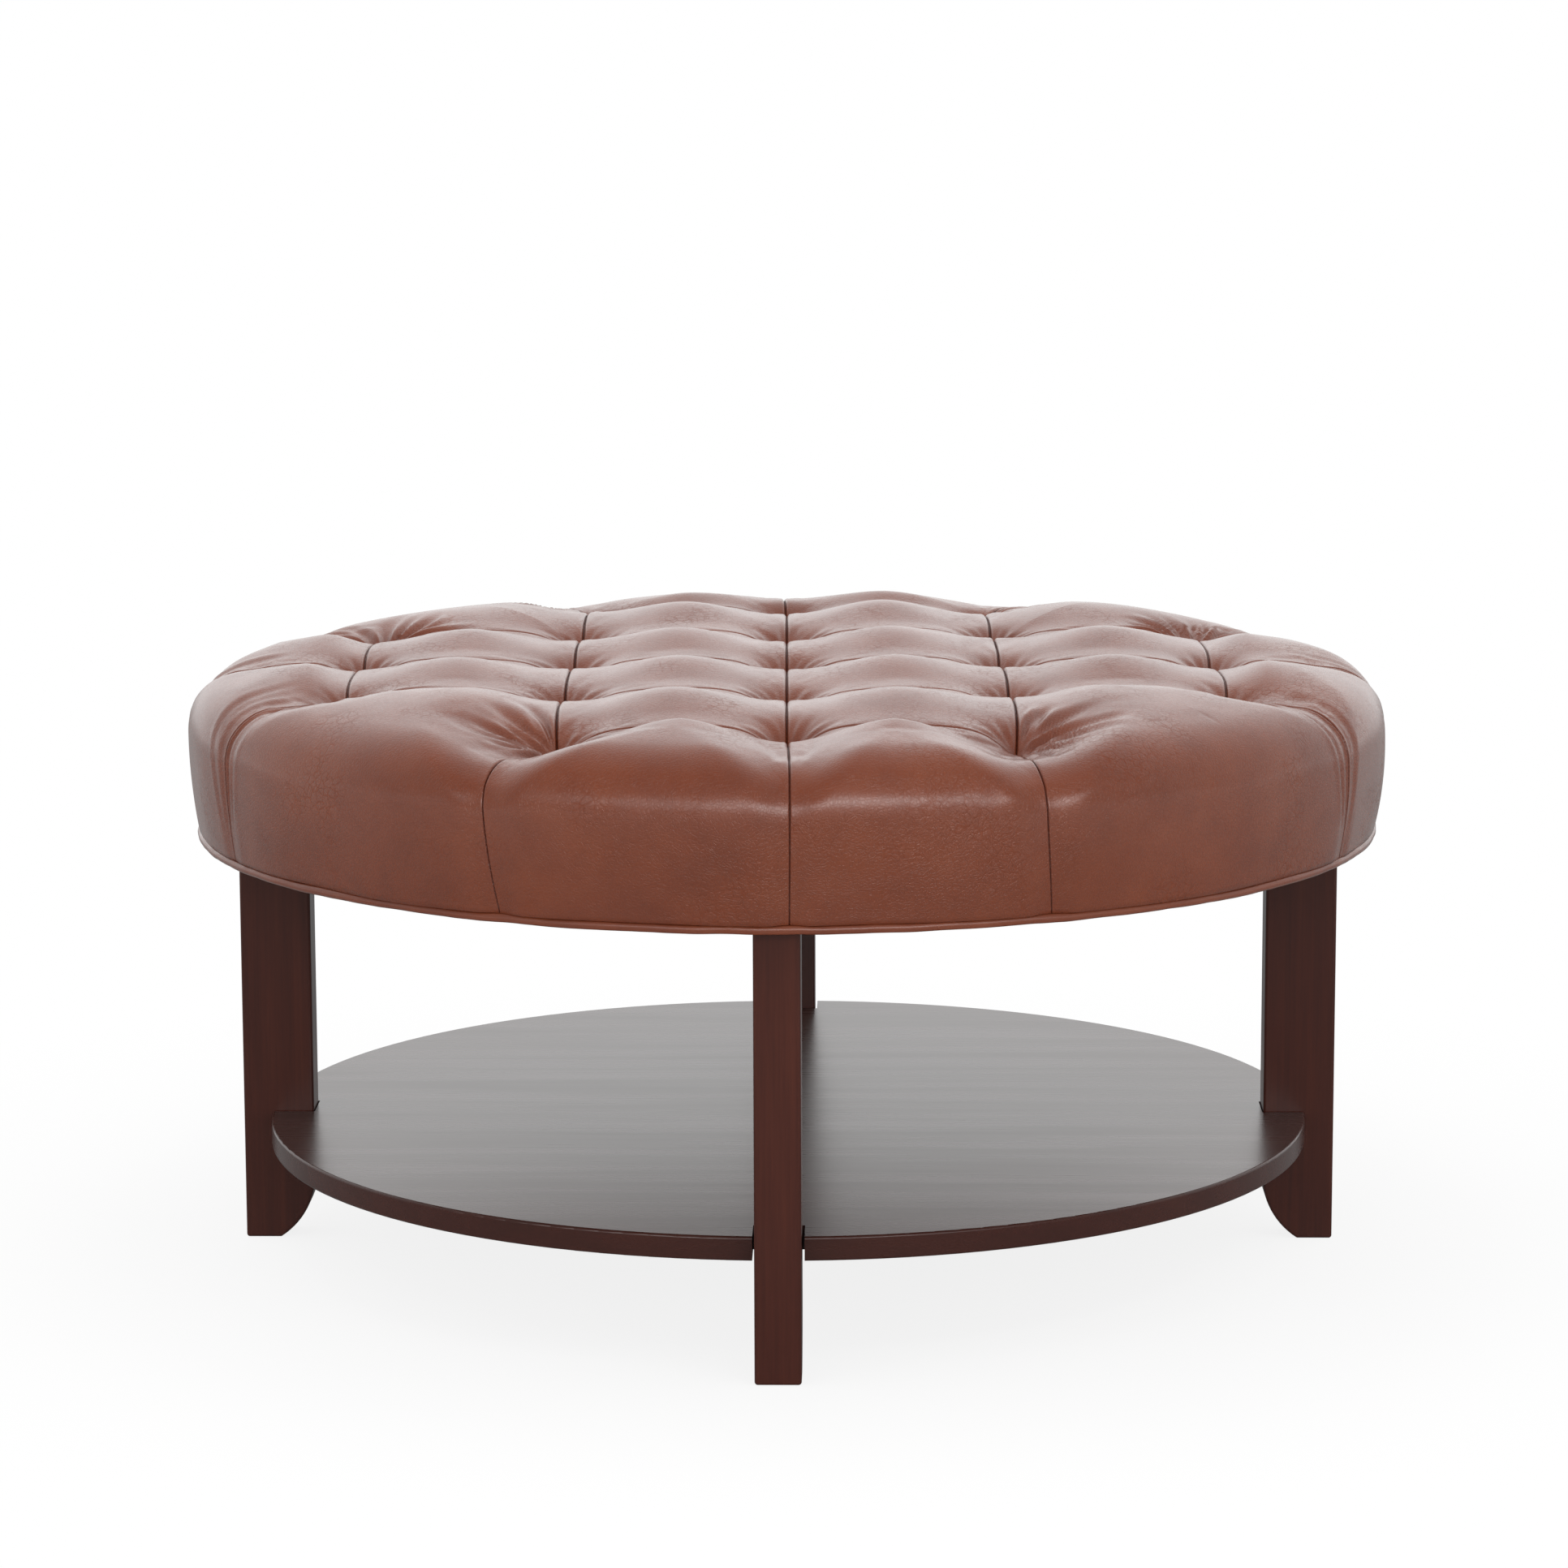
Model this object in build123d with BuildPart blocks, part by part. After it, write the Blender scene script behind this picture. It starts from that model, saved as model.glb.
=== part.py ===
from build123d import *
import os
from math import asin, atan2, cos, degrees, hypot, radians, sin, sqrt

# Round tufted ottoman with a low round shelf, on four upright board legs.
# Millimetres. Z is up, the floor is Z = 0 and the centre line of the seat is the Z axis.
# The legs stand on the X and Y axes, and the front of the ottoman faces -Y.

# Legs
leg_reach = 455.0
leg_width = 58.5
leg_thickness = 35.5
leg_edge_radius = 2.5
foot_flat = 29.0
foot_rise = 54.0

# Shelf
shelf_radius = 431.0
shelf_top = 108.6
shelf_thickness = 18.9
shelf_edge_radius = 2.0
shelf_leg_gap = 2.0
shelf_seat_gap = 1.0

# Seat frame: hoop, rails and leg blocks under a deck
frame_bottom = 354.8
frame_depth = 62.0
hoop_thickness = 18.0
rail_thickness = 20.0
block_thickness = 30.0
deck_thickness = 15.0

# Cushion
seat_height = 503.5
seat_radius = 492.0
side_draw = 7.5
shoulder_radius = 51.0
shoulder_turn = 75.0
crown_edge_radius = 515.0
leather_thickness = 1.2

# Tufting: a square grid without its four corners, turned a little against the legs
tuft_pitch = 176.4
tuft_rows_each_side = 2
seat_turn = 1.0
saddle_depth = 14.5
tuft_depth = 48.5
pit_radius = 4.0
pit_flare = 66.0
pillow_lift = 0.5
pleat_depth = 4.0
pleat_width = 3.0

# Welt round the lower edge
welt_diameter = 7.3
welt_stand = 1.3
welt_tape_thickness = 1.6
welt_tape_width = 21.0

# Tuft ties
twine_radius = 0.9
twine_hole_gap = 1.6
knot_radius = 2.2
knot_height = 3.0
tie_washer_radius = 11.0
tie_washer_thickness = 2.5

# Dust cover under the seat
dust_cover_thickness = 0.8
dust_cover_margin = 2.0
dust_cover_slot_gap = 1.5

# Leg bolts, washers and threaded inserts
bolt_radius = 4.0
bolt_length = 60.0
bolt_head_radius = 6.5
bolt_head_height = 8.0
bolt_socket_radius = 3.4
bolt_socket_depth = 4.5
bolt_inset = 17.0
bolt_washer_radius = 8.5
bolt_washer_thickness = 1.6
insert_radius = 5.8
insert_length = 25.0
bolt_end_room = 3.0

# Wood screws with countersunk heads
deck_screw_radius = 2.1
deck_screw_length = 45.0
frame_screw_radius = 2.3
frame_screw_length = 55.0
bracket_screw_radius = 1.9
bracket_screw_length = 15.0
screw_head_share = 2.0
screw_point_share = 2.5
hoop_screw_count = 16
rail_screw_share = 1.25

# Shelf brackets
bracket_leaf = 32.0
bracket_width = 26.0
bracket_thickness = 2.5
bracket_screw_spread = 14.0
bracket_screw_share = 0.6

# Staples
staple_crown = 11.0
staple_leg = 10.0
staple_wire = 1.0
staple_count = 36
staple_inset = 6.5

# Clearances
curved_fit = 0.3
thread_fit = 0.1
overrun = 5.0

leg_angles = {"right": 0.0, "back": 90.0, "left": 180.0, "front": 270.0}

# Places that follow from the sizes above
leg_inner = leg_reach - leg_width
shelf_bottom = shelf_top - shelf_thickness
frame_top = frame_bottom + frame_depth
deck_top = frame_top + deck_thickness
leg_corner_radius = hypot(leg_reach, leg_thickness / 2)
hoop_inner_radius = leg_corner_radius + curved_fit
hoop_outer_radius = hoop_inner_radius + hoop_thickness
hoop_middle_radius = hoop_inner_radius + hoop_thickness / 2
block_inner = leg_inner - block_thickness
rail_offset = tuft_pitch / 2
block_half_span = rail_offset - rail_thickness / 2

waist_radius = seat_radius - side_draw
welt_centre_radius = waist_radius + welt_stand - welt_diameter / 2
welt_centre_height = frame_bottom - welt_tape_thickness / 2
cover_bottom = welt_centre_height + welt_diameter / 2 + curved_fit
tape_inner_radius = welt_centre_radius - welt_tape_width
tape_bottom = frame_bottom - welt_tape_thickness
dust_cover_bottom = tape_bottom - staple_wire - dust_cover_thickness
dust_cover_radius = hoop_outer_radius - dust_cover_margin
staple_ring_radius = hoop_outer_radius - staple_inset

# Heights and radii of the cushion's section
shoulder_sine = sin(radians(shoulder_turn))
shoulder_cosine = cos(radians(shoulder_turn))
shoulder_base = (
    seat_height
    - shoulder_radius * shoulder_sine
    - crown_edge_radius * (1 - shoulder_sine)
)
shoulder_centre = seat_radius - shoulder_radius
crown_edge_step = crown_edge_radius - shoulder_radius
crown_edge_centre = shoulder_centre - crown_edge_step * shoulder_cosine
crown_edge_base = shoulder_base - crown_edge_step * shoulder_sine

# Arcs of the pillows and of the funnels that lead down to the tufts
half_pitch = tuft_pitch / 2
vault_rise = saddle_depth + pillow_lift
vault_radius = (half_pitch**2 + vault_rise**2) / (2 * vault_rise)
vault_base = seat_height + pillow_lift - vault_radius
tuft_floor = seat_height - tuft_depth
flare_rise = tuft_depth + pillow_lift
flare_radius = (pit_flare**2 + flare_rise**2) / (2 * flare_rise)
flare_base = seat_height + pillow_lift - flare_radius
flare_centre = pit_radius + pit_flare


def radial_plane(angle):
    """Upright plane through the centre line: x runs outwards at the angle, y is height."""
    turn = radians(angle)
    return Plane(origin=(0, 0, 0), x_dir=(cos(turn), sin(turn), 0), z_dir=(sin(turn), -cos(turn), 0))


def turned(x, y, angle):
    """Point of the tuft grid, turned about the centre line."""
    turn = radians(angle)
    return (x * cos(turn) - y * sin(turn), x * sin(turn) + y * cos(turn))


rows = range(-tuft_rows_each_side, tuft_rows_each_side + 1)
tuft_cells = [(i, j) for i in rows for j in rows if abs(i) + abs(j) < 2 * tuft_rows_each_side]
tuft_points = [turned(i * tuft_pitch, j * tuft_pitch, seat_turn) for i, j in tuft_cells]


def cushion_section(inset, mode=Mode.ADD):
    """Half section of the cushion, drawn in by the inset, with spare length below its edge."""
    waist = (waist_radius - inset, cover_bottom)
    hip = (seat_radius - inset, shoulder_base)
    crown = seat_height - inset
    floor = cover_bottom - overrun
    with BuildLine() as outline:
        Polyline((0, crown), (0, floor), (waist_radius - inset, floor), waist)
        TangentArc(hip, waist, tangent=(0, -1))
        CenterArc((shoulder_centre, shoulder_base), shoulder_radius - inset, 0, shoulder_turn)
        CenterArc(
            (crown_edge_centre, crown_edge_base),
            crown_edge_radius - inset,
            shoulder_turn,
            90 - shoulder_turn,
        )
        Line((crown_edge_centre, crown), (0, crown))
    make_face(outline.edges(), mode=mode)


def pleat_section(place, inset):
    """Channel between two rows of pillows: two arcs that meet in a point."""
    radius = vault_radius - inset
    reach = degrees(asin(half_pitch / radius))
    top = vault_base + radius
    with BuildLine() as outline:
        CenterArc((place + half_pitch, vault_base), radius, 90, reach)
        CenterArc((place - half_pitch, vault_base), radius, 90 - reach, reach)
        Polyline(
            (place - half_pitch, top),
            (place - half_pitch, top + overrun),
            (place + half_pitch, top + overrun),
            (place + half_pitch, top),
        )
    make_face(outline.edges())


def tuft_funnel(inset):
    """Cutter for one sewn tuft, open at the top, on the Z axis."""
    radius = flare_radius - inset
    floor = tuft_floor - inset
    climb = floor - flare_base
    top = flare_base + radius
    foot = flare_centre - sqrt(radius**2 - climb**2)
    with BuildPart() as funnel:
        with BuildSketch(Plane.XZ):
            with BuildLine():
                CenterArc((flare_centre, flare_base), radius, 90, 90 - degrees(asin(climb / radius)))
                Polyline(
                    (foot, floor),
                    (0, floor),
                    (0, top + overrun),
                    (flare_centre, top + overrun),
                    (flare_centre, top),
                )
            make_face()
        revolve(axis=Axis.Z)
    return funnel.part


def cushion(inset):
    """Tufted cushion whose surface lies the inset inside the leather's outer face."""
    funnel = tuft_funnel(inset)
    floor = cover_bottom - overrun
    with BuildPart() as form:
        with BuildSketch(Plane.XZ):
            cushion_section(inset)
        revolve(axis=Axis.Z)
        for turn in (seat_turn, seat_turn + 90):
            for row in rows:
                across = 2 * tuft_rows_each_side - abs(row) - 1
                with BuildSketch(radial_plane(turn)):
                    pleat_section(row * tuft_pitch, inset)
                extrude(amount=min(across, tuft_rows_each_side) * tuft_pitch, both=True, mode=Mode.SUBTRACT)
        with Locations(*tuft_points):
            add(funnel, mode=Mode.SUBTRACT)
        for i, j in tuft_cells:
            if max(abs(i), abs(j)) == tuft_rows_each_side:
                start = hypot(i, j) * tuft_pitch
                with BuildSketch(radial_plane(seat_turn + degrees(atan2(j, i)))):
                    with BuildLine():
                        Polyline(
                            (start, floor),
                            (seat_radius + overrun, floor),
                            (seat_radius + overrun, seat_height + overrun),
                            (start, seat_height + overrun),
                            close=True,
                        )
                    make_face()
                    cushion_section(inset + pleat_depth, mode=Mode.SUBTRACT)
                extrude(amount=pleat_width / 2 + inset, both=True, mode=Mode.SUBTRACT)
    return form.part


def wood_screw(radius, length, gap=0):
    """Countersunk screw that runs down the Z axis from its head. A gap makes its hole."""
    shank = radius + gap
    head = radius * screw_head_share + gap
    point = radius * screw_point_share
    with BuildPart() as screw:
        with BuildSketch(Plane.XZ):
            with BuildLine():
                Polyline(
                    (0, 0),
                    (head, 0),
                    (shank, shank - head),
                    (shank, point - length),
                    (0, -length - gap),
                    close=True,
                )
            make_face()
        revolve(axis=Axis.Z)
    return screw.part


def staple():
    """Staple with its crown below Z = 0 along Y and its two legs up."""
    with BuildPart() as wire:
        with BuildSketch(Plane.XY.offset(-staple_wire)):
            Rectangle(staple_wire, staple_crown)
        extrude(amount=staple_wire)
        with BuildSketch():
            with Locations(*[(0, side * (staple_crown - staple_wire) / 2) for side in (-1, 1)]):
                Rectangle(staple_wire, staple_wire)
        extrude(amount=staple_leg)
    return wire.part


def ring_places(radius, count, height, start=0.0):
    """Places on a level circle, each with its own X axis pointing outwards."""
    places = []
    for index in range(count):
        angle = start + 360 * index / count
        x, y = turned(radius, 0, angle)
        places.append(Location((x, y, height), (0, 0, angle)))
    return places


def pointing(x, y, z, direction):
    """Place whose Z axis points along the direction."""
    return Plane(origin=(x, y, z), z_dir=direction).location


os.makedirs("parts", exist_ok=True)

# Places of the fasteners
deck_screw_places = ring_places(hoop_middle_radius, hoop_screw_count, deck_top, 180 / hoop_screw_count)
rail_screw_reach = rail_screw_share * tuft_pitch
for side in (-1, 1):
    for reach in (-rail_screw_reach, 0, rail_screw_reach):
        deck_screw_places.append(Location((reach, side * rail_offset, deck_top)))
        deck_screw_places.append(Location((side * rail_offset, reach, deck_top)))

bolt_heights = (frame_bottom + bolt_inset, frame_top - bolt_inset)
bolt_places = []
block_screw_places = []
bracket_screw_places = []
for angle in leg_angles.values():
    out = turned(1, 0, angle)
    back = (-out[0], -out[1], 0)
    for height in bolt_heights:
        x, y = turned(block_inner, 0, angle)
        bolt_places.append(pointing(x, y, height, back))
        for side in (-1, 1):
            x, y = turned(block_inner + block_thickness / 2, side * (block_half_span + rail_thickness), angle)
            facing = turned(0, side, angle)
            block_screw_places.append(pointing(x, y, height, (facing[0], facing[1], 0)))
    leaf_screw = bracket_screw_share * bracket_leaf
    for side in (-1, 1):
        spread = side * bracket_screw_spread / 2
        x, y = turned(leg_inner - bracket_thickness, spread, angle)
        bracket_screw_places.append(pointing(x, y, shelf_bottom - leaf_screw, back))
        x, y = turned(leg_inner - leaf_screw, spread, angle)
        bracket_screw_places.append(pointing(x, y, shelf_bottom - bracket_thickness, (0, 0, -1)))

deck_screw_hole = wood_screw(deck_screw_radius, deck_screw_length, thread_fit)
block_screw_hole = wood_screw(frame_screw_radius, frame_screw_length, thread_fit)
bracket_screw_hole = wood_screw(bracket_screw_radius, bracket_screw_length, thread_fit)

# Leather cover, sewn in squares and drawn down at the tufts
cover_outside = cushion(0)
cover_inside = cushion(leather_thickness)
with BuildPart() as seat_cover:
    add(cover_outside)
    split(bisect_by=Plane.XY.offset(cover_bottom), keep=Keep.TOP)
    add(cover_inside, mode=Mode.SUBTRACT)
seat_cover.part.label = "seat_cover"
export_step(seat_cover.part, "parts/seat_cover.step")

# Foam block on the deck, bored for the twines
padding = cushion(leather_thickness + curved_fit)
with BuildPart() as seat_foam:
    add(padding)
    split(bisect_by=Plane.XY.offset(deck_top), keep=Keep.TOP)
    with BuildSketch(Plane.XY.offset(deck_top)):
        with Locations(*tuft_points):
            Circle(twine_radius + curved_fit)
    extrude(amount=seat_height - deck_top, mode=Mode.SUBTRACT)
seat_foam.part.label = "seat_foam"
export_step(seat_foam.part, "parts/seat_foam.step")

# Wadding between the hoop and the leather
with BuildPart() as side_wadding:
    add(padding)
    split(bisect_by=Plane.XY.offset(deck_top), keep=Keep.BOTTOM)
    split(bisect_by=Plane.XY.offset(cover_bottom), keep=Keep.TOP)
    with BuildSketch(Plane.XY.offset(cover_bottom - overrun)):
        Circle(hoop_outer_radius + curved_fit)
    extrude(until=Until.LAST, mode=Mode.SUBTRACT)
side_wadding.part.label = "side_wadding"
export_step(side_wadding.part, "parts/side_wadding.step")

# Welt: a leather-covered cord on a tape that is stapled under the hoop
with BuildPart() as welt:
    with BuildSketch(Plane.XZ):
        with Locations((welt_centre_radius, welt_centre_height)):
            Circle(welt_diameter / 2)
        with Locations((tape_inner_radius, welt_centre_height)):
            Rectangle(welt_tape_width, welt_tape_thickness, align=(Align.MIN, Align.CENTER))
    revolve(axis=Axis.Z)
welt.part.label = "welt"
export_step(welt.part, "parts/welt.step")

# Twines that hold the tufts down, each knotted under a washer
knot_top = frame_top - tie_washer_thickness
with BuildPart() as tuft_twines:
    with BuildSketch(Plane.XY.offset(knot_top)):
        with Locations(*tuft_points):
            Circle(twine_radius)
    extrude(amount=tuft_floor - leather_thickness - knot_top)
    with BuildSketch(Plane.XY.offset(knot_top)):
        with Locations(*tuft_points):
            Circle(knot_radius)
    extrude(amount=-knot_height)
tuft_twines.part.label = "tuft_twines"
export_step(tuft_twines.part, "parts/tuft_twines.step")

with BuildPart() as tuft_washers:
    with BuildSketch(Plane.XY.offset(frame_top)):
        with Locations(*tuft_points):
            Circle(tie_washer_radius)
            Circle(twine_radius + curved_fit, mode=Mode.SUBTRACT)
    extrude(amount=-tie_washer_thickness)
tuft_washers.part.label = "tuft_washers"
export_step(tuft_washers.part, "parts/tuft_washers.step")

# Deck: plywood disc with a hole for each twine
with BuildPart() as seat_deck:
    with BuildSketch(Plane.XY.offset(frame_top)):
        Circle(hoop_outer_radius)
        with Locations(*tuft_points):
            Circle(twine_radius + twine_hole_gap, mode=Mode.SUBTRACT)
    extrude(amount=deck_thickness)
    with Locations(*deck_screw_places):
        add(deck_screw_hole, mode=Mode.SUBTRACT)
seat_deck.part.label = "seat_deck"
export_step(seat_deck.part, "parts/seat_deck.step")

# Hoop that the deck rests on and the legs stand inside
with BuildPart() as frame_hoop:
    with BuildSketch(Plane.XY.offset(frame_bottom)):
        Circle(hoop_outer_radius)
        Circle(hoop_inner_radius, mode=Mode.SUBTRACT)
    extrude(amount=frame_depth)
    with Locations(*deck_screw_places):
        add(deck_screw_hole, mode=Mode.SUBTRACT)
frame_hoop.part.label = "frame_hoop"
export_step(frame_hoop.part, "parts/frame_hoop.step")

# Rails: two along X and two along Y, half lapped where they cross
lap_half = rail_thickness / 2 + curved_fit / 2
rail_sides = {"rail_front": (0, -1), "rail_back": (0, 1), "rail_left": (90, 1), "rail_right": (90, -1)}
for name, (angle, side) in rail_sides.items():
    lapped_low = angle == 0
    lap_base = frame_bottom + frame_depth / 2 if lapped_low else frame_bottom
    along = Plane.XY.rotated((0, 0, angle))
    with BuildPart() as rail:
        with BuildSketch(along.offset(frame_bottom)):
            with Locations((0, side * rail_offset)):
                Rectangle(2 * hoop_inner_radius, rail_thickness)
            Circle(hoop_inner_radius - curved_fit, mode=Mode.INTERSECT)
        extrude(amount=frame_depth)
        with BuildSketch(along.offset(lap_base)):
            with Locations((-rail_offset, side * rail_offset), (rail_offset, side * rail_offset)):
                Rectangle(2 * lap_half, rail_thickness + overrun)
        extrude(amount=frame_depth / 2, mode=Mode.SUBTRACT)
        with Locations(*deck_screw_places):
            add(deck_screw_hole, mode=Mode.SUBTRACT)
        with Locations(*block_screw_places):
            add(block_screw_hole, mode=Mode.SUBTRACT)
    rail.part.label = name
    export_step(rail.part, f"parts/{name}.step")

# Legs, their blocks and the shelf brackets, one of each at every place
for place, angle in leg_angles.items():
    upright = radial_plane(angle)
    with BuildPart() as leg:
        with BuildSketch(upright):
            with BuildLine():
                Polyline(
                    (leg_inner, foot_rise),
                    (leg_inner, frame_top),
                    (leg_reach, frame_top),
                    (leg_reach, 0),
                    (leg_reach - foot_flat, 0),
                )
                TangentArc((leg_inner, foot_rise), (leg_reach - foot_flat, 0), tangent=(0, -1))
            make_face()
        extrude(amount=leg_thickness / 2, both=True)
        upper_edges = leg.edges().group_by(Axis.Z)[-1]
        fillet(leg.edges() - upper_edges, leg_edge_radius)
        with Locations(*bolt_places):
            Cylinder(
                insert_radius + thread_fit,
                block_thickness + insert_length,
                align=(Align.CENTER, Align.CENTER, Align.MAX),
                mode=Mode.SUBTRACT,
            )
            Cylinder(
                bolt_radius + thread_fit,
                bolt_length + bolt_end_room,
                align=(Align.CENTER, Align.CENTER, Align.MAX),
                mode=Mode.SUBTRACT,
            )
        with Locations(*bracket_screw_places):
            add(bracket_screw_hole, mode=Mode.SUBTRACT)
    leg.part.label = f"leg_{place}"
    export_step(leg.part, f"parts/leg_{place}.step")

    with BuildPart() as leg_block:
        with BuildSketch(upright):
            with Locations((block_inner, frame_bottom)):
                Rectangle(block_thickness, frame_depth, align=(Align.MIN, Align.MIN))
        extrude(amount=block_half_span, both=True)
        with Locations(*bolt_places):
            Cylinder(
                bolt_radius + curved_fit,
                bolt_length,
                align=(Align.CENTER, Align.CENTER, Align.MAX),
                mode=Mode.SUBTRACT,
            )
        with Locations(*block_screw_places):
            add(block_screw_hole, mode=Mode.SUBTRACT)
    leg_block.part.label = f"leg_block_{place}"
    export_step(leg_block.part, f"parts/leg_block_{place}.step")

    with BuildPart() as shelf_bracket:
        with BuildSketch(upright):
            with Locations((leg_inner, shelf_bottom)):
                Rectangle(bracket_leaf, bracket_leaf, align=(Align.MAX, Align.MAX))
            with Locations((leg_inner - bracket_thickness, shelf_bottom - bracket_thickness)):
                Rectangle(bracket_leaf, bracket_leaf, align=(Align.MAX, Align.MAX), mode=Mode.SUBTRACT)
        extrude(amount=bracket_width / 2, both=True)
        with Locations(*bracket_screw_places):
            add(bracket_screw_hole, mode=Mode.SUBTRACT)
    shelf_bracket.part.label = f"shelf_bracket_{place}"
    export_step(shelf_bracket.part, f"parts/shelf_bracket_{place}.step")

# Shelf: round board let in round each leg
notch_inner = leg_inner - shelf_seat_gap
notch_width = leg_thickness + 2 * shelf_leg_gap
with BuildPart() as shelf:
    with BuildSketch(Plane.XY.offset(shelf_bottom)):
        Circle(shelf_radius)
    extrude(amount=shelf_thickness)
    fillet(shelf.edges(), shelf_edge_radius)
    for angle in leg_angles.values():
        with BuildSketch(Plane.XY.rotated((0, 0, angle)).offset(shelf_bottom)):
            with Locations((notch_inner, 0)):
                Rectangle(shelf_radius, notch_width, align=(Align.MIN, Align.CENTER))
        extrude(amount=shelf_thickness, mode=Mode.SUBTRACT)
    with Locations(*bracket_screw_places):
        add(bracket_screw_hole, mode=Mode.SUBTRACT)
shelf.part.label = "shelf"
export_step(shelf.part, "parts/shelf.step")

# Dust cover: cloth disc with a slot for each leg
with BuildPart() as dust_cover:
    with BuildSketch(Plane.XY.offset(dust_cover_bottom)):
        Circle(dust_cover_radius)
        for angle in leg_angles.values():
            x, y = turned(leg_inner + leg_width / 2, 0, angle)
            with Locations(Location((x, y), angle)):
                Rectangle(
                    leg_width + 2 * dust_cover_slot_gap,
                    leg_thickness + 2 * dust_cover_slot_gap,
                    mode=Mode.SUBTRACT,
                )
    extrude(amount=dust_cover_thickness)
dust_cover.part.label = "dust_cover"
export_step(dust_cover.part, "parts/dust_cover.step")

# Bolts through the blocks into threaded inserts in the legs
with BuildPart() as leg_bolts:
    with Locations(*bolt_places):
        with Locations((0, 0, bolt_washer_thickness)):
            Cylinder(bolt_radius, bolt_length, align=(Align.CENTER, Align.CENTER, Align.MAX))
            Cylinder(bolt_head_radius, bolt_head_height, align=(Align.CENTER, Align.CENTER, Align.MIN))
        with Locations((0, 0, bolt_washer_thickness + bolt_head_height)):
            Cylinder(
                bolt_socket_radius,
                bolt_socket_depth,
                align=(Align.CENTER, Align.CENTER, Align.MAX),
                mode=Mode.SUBTRACT,
            )
leg_bolts.part.label = "leg_bolts"
export_step(leg_bolts.part, "parts/leg_bolts.step")

with BuildPart() as bolt_washers:
    with Locations(*bolt_places):
        Cylinder(bolt_washer_radius, bolt_washer_thickness, align=(Align.CENTER, Align.CENTER, Align.MIN))
        Cylinder(bolt_radius + curved_fit, 2 * bolt_washer_thickness, mode=Mode.SUBTRACT)
bolt_washers.part.label = "bolt_washers"
export_step(bolt_washers.part, "parts/bolt_washers.step")

with BuildPart() as leg_inserts:
    with Locations(*bolt_places):
        with Locations((0, 0, -block_thickness)):
            Cylinder(insert_radius, insert_length, align=(Align.CENTER, Align.CENTER, Align.MAX))
            Cylinder(bolt_radius + thread_fit, 2 * insert_length + overrun, mode=Mode.SUBTRACT)
leg_inserts.part.label = "leg_inserts"
export_step(leg_inserts.part, "parts/leg_inserts.step")

# Screws, each kind as one group
screw_groups = {
    "deck_screws": (deck_screw_radius, deck_screw_length, deck_screw_places),
    "block_screws": (frame_screw_radius, frame_screw_length, block_screw_places),
    "bracket_screws": (bracket_screw_radius, bracket_screw_length, bracket_screw_places),
}
for name, (radius, length, places) in screw_groups.items():
    one_screw = wood_screw(radius, length)
    with BuildPart() as screws:
        with Locations(*places):
            add(one_screw)
    screws.part.label = name
    export_step(screws.part, f"parts/{name}.step")

# Staples: one ring through the welt's tape, one through the dust cover and the tape
one_staple = staple()
with BuildPart() as welt_staples:
    with Locations(*ring_places(staple_ring_radius, staple_count, tape_bottom)):
        add(one_staple)
welt_staples.part.label = "welt_staples"
export_step(welt_staples.part, "parts/welt_staples.step")

with BuildPart() as dust_staples:
    with Locations(*ring_places(staple_ring_radius, staple_count, dust_cover_bottom, 180 / staple_count)):
        add(one_staple)
dust_staples.part.label = "dust_staples"
export_step(dust_staples.part, "parts/dust_staples.step")
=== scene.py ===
from math import asin, atan2, cos, hypot, pi, radians, sin, tau

import bmesh
import bpy
import numpy as np
from mathutils import Matrix, Vector
from mathutils.geometry import delaunay_2d_cdt


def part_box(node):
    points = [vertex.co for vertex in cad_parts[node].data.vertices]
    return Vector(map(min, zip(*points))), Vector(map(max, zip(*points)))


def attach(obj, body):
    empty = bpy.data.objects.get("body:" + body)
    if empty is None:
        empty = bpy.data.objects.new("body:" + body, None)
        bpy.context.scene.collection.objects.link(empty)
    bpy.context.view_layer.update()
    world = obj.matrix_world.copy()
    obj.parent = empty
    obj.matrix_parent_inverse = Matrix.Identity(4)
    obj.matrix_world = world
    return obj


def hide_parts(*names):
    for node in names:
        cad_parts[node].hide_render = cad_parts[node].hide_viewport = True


# Round tufted ottoman: its looks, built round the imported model. Metres, the floor at Z = 0.
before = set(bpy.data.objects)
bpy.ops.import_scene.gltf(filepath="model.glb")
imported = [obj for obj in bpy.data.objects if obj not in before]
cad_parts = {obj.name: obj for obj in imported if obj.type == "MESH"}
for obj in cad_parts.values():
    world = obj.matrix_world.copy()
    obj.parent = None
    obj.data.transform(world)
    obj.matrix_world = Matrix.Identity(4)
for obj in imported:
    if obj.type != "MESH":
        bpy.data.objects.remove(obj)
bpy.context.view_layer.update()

# Sizes of the seat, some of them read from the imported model
cover_low, cover_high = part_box("seat_cover")
seat_radius = (cover_high.x - cover_low.x) / 2
seat_height = cover_high.z
cover_edge = cover_low.z
side_draw = 0.0075
shoulder_radius = 0.051
shoulder_turn = radians(75)
crown_edge_radius = 0.515
leather_thickness = 0.0012
turn_in = 0.008

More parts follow.
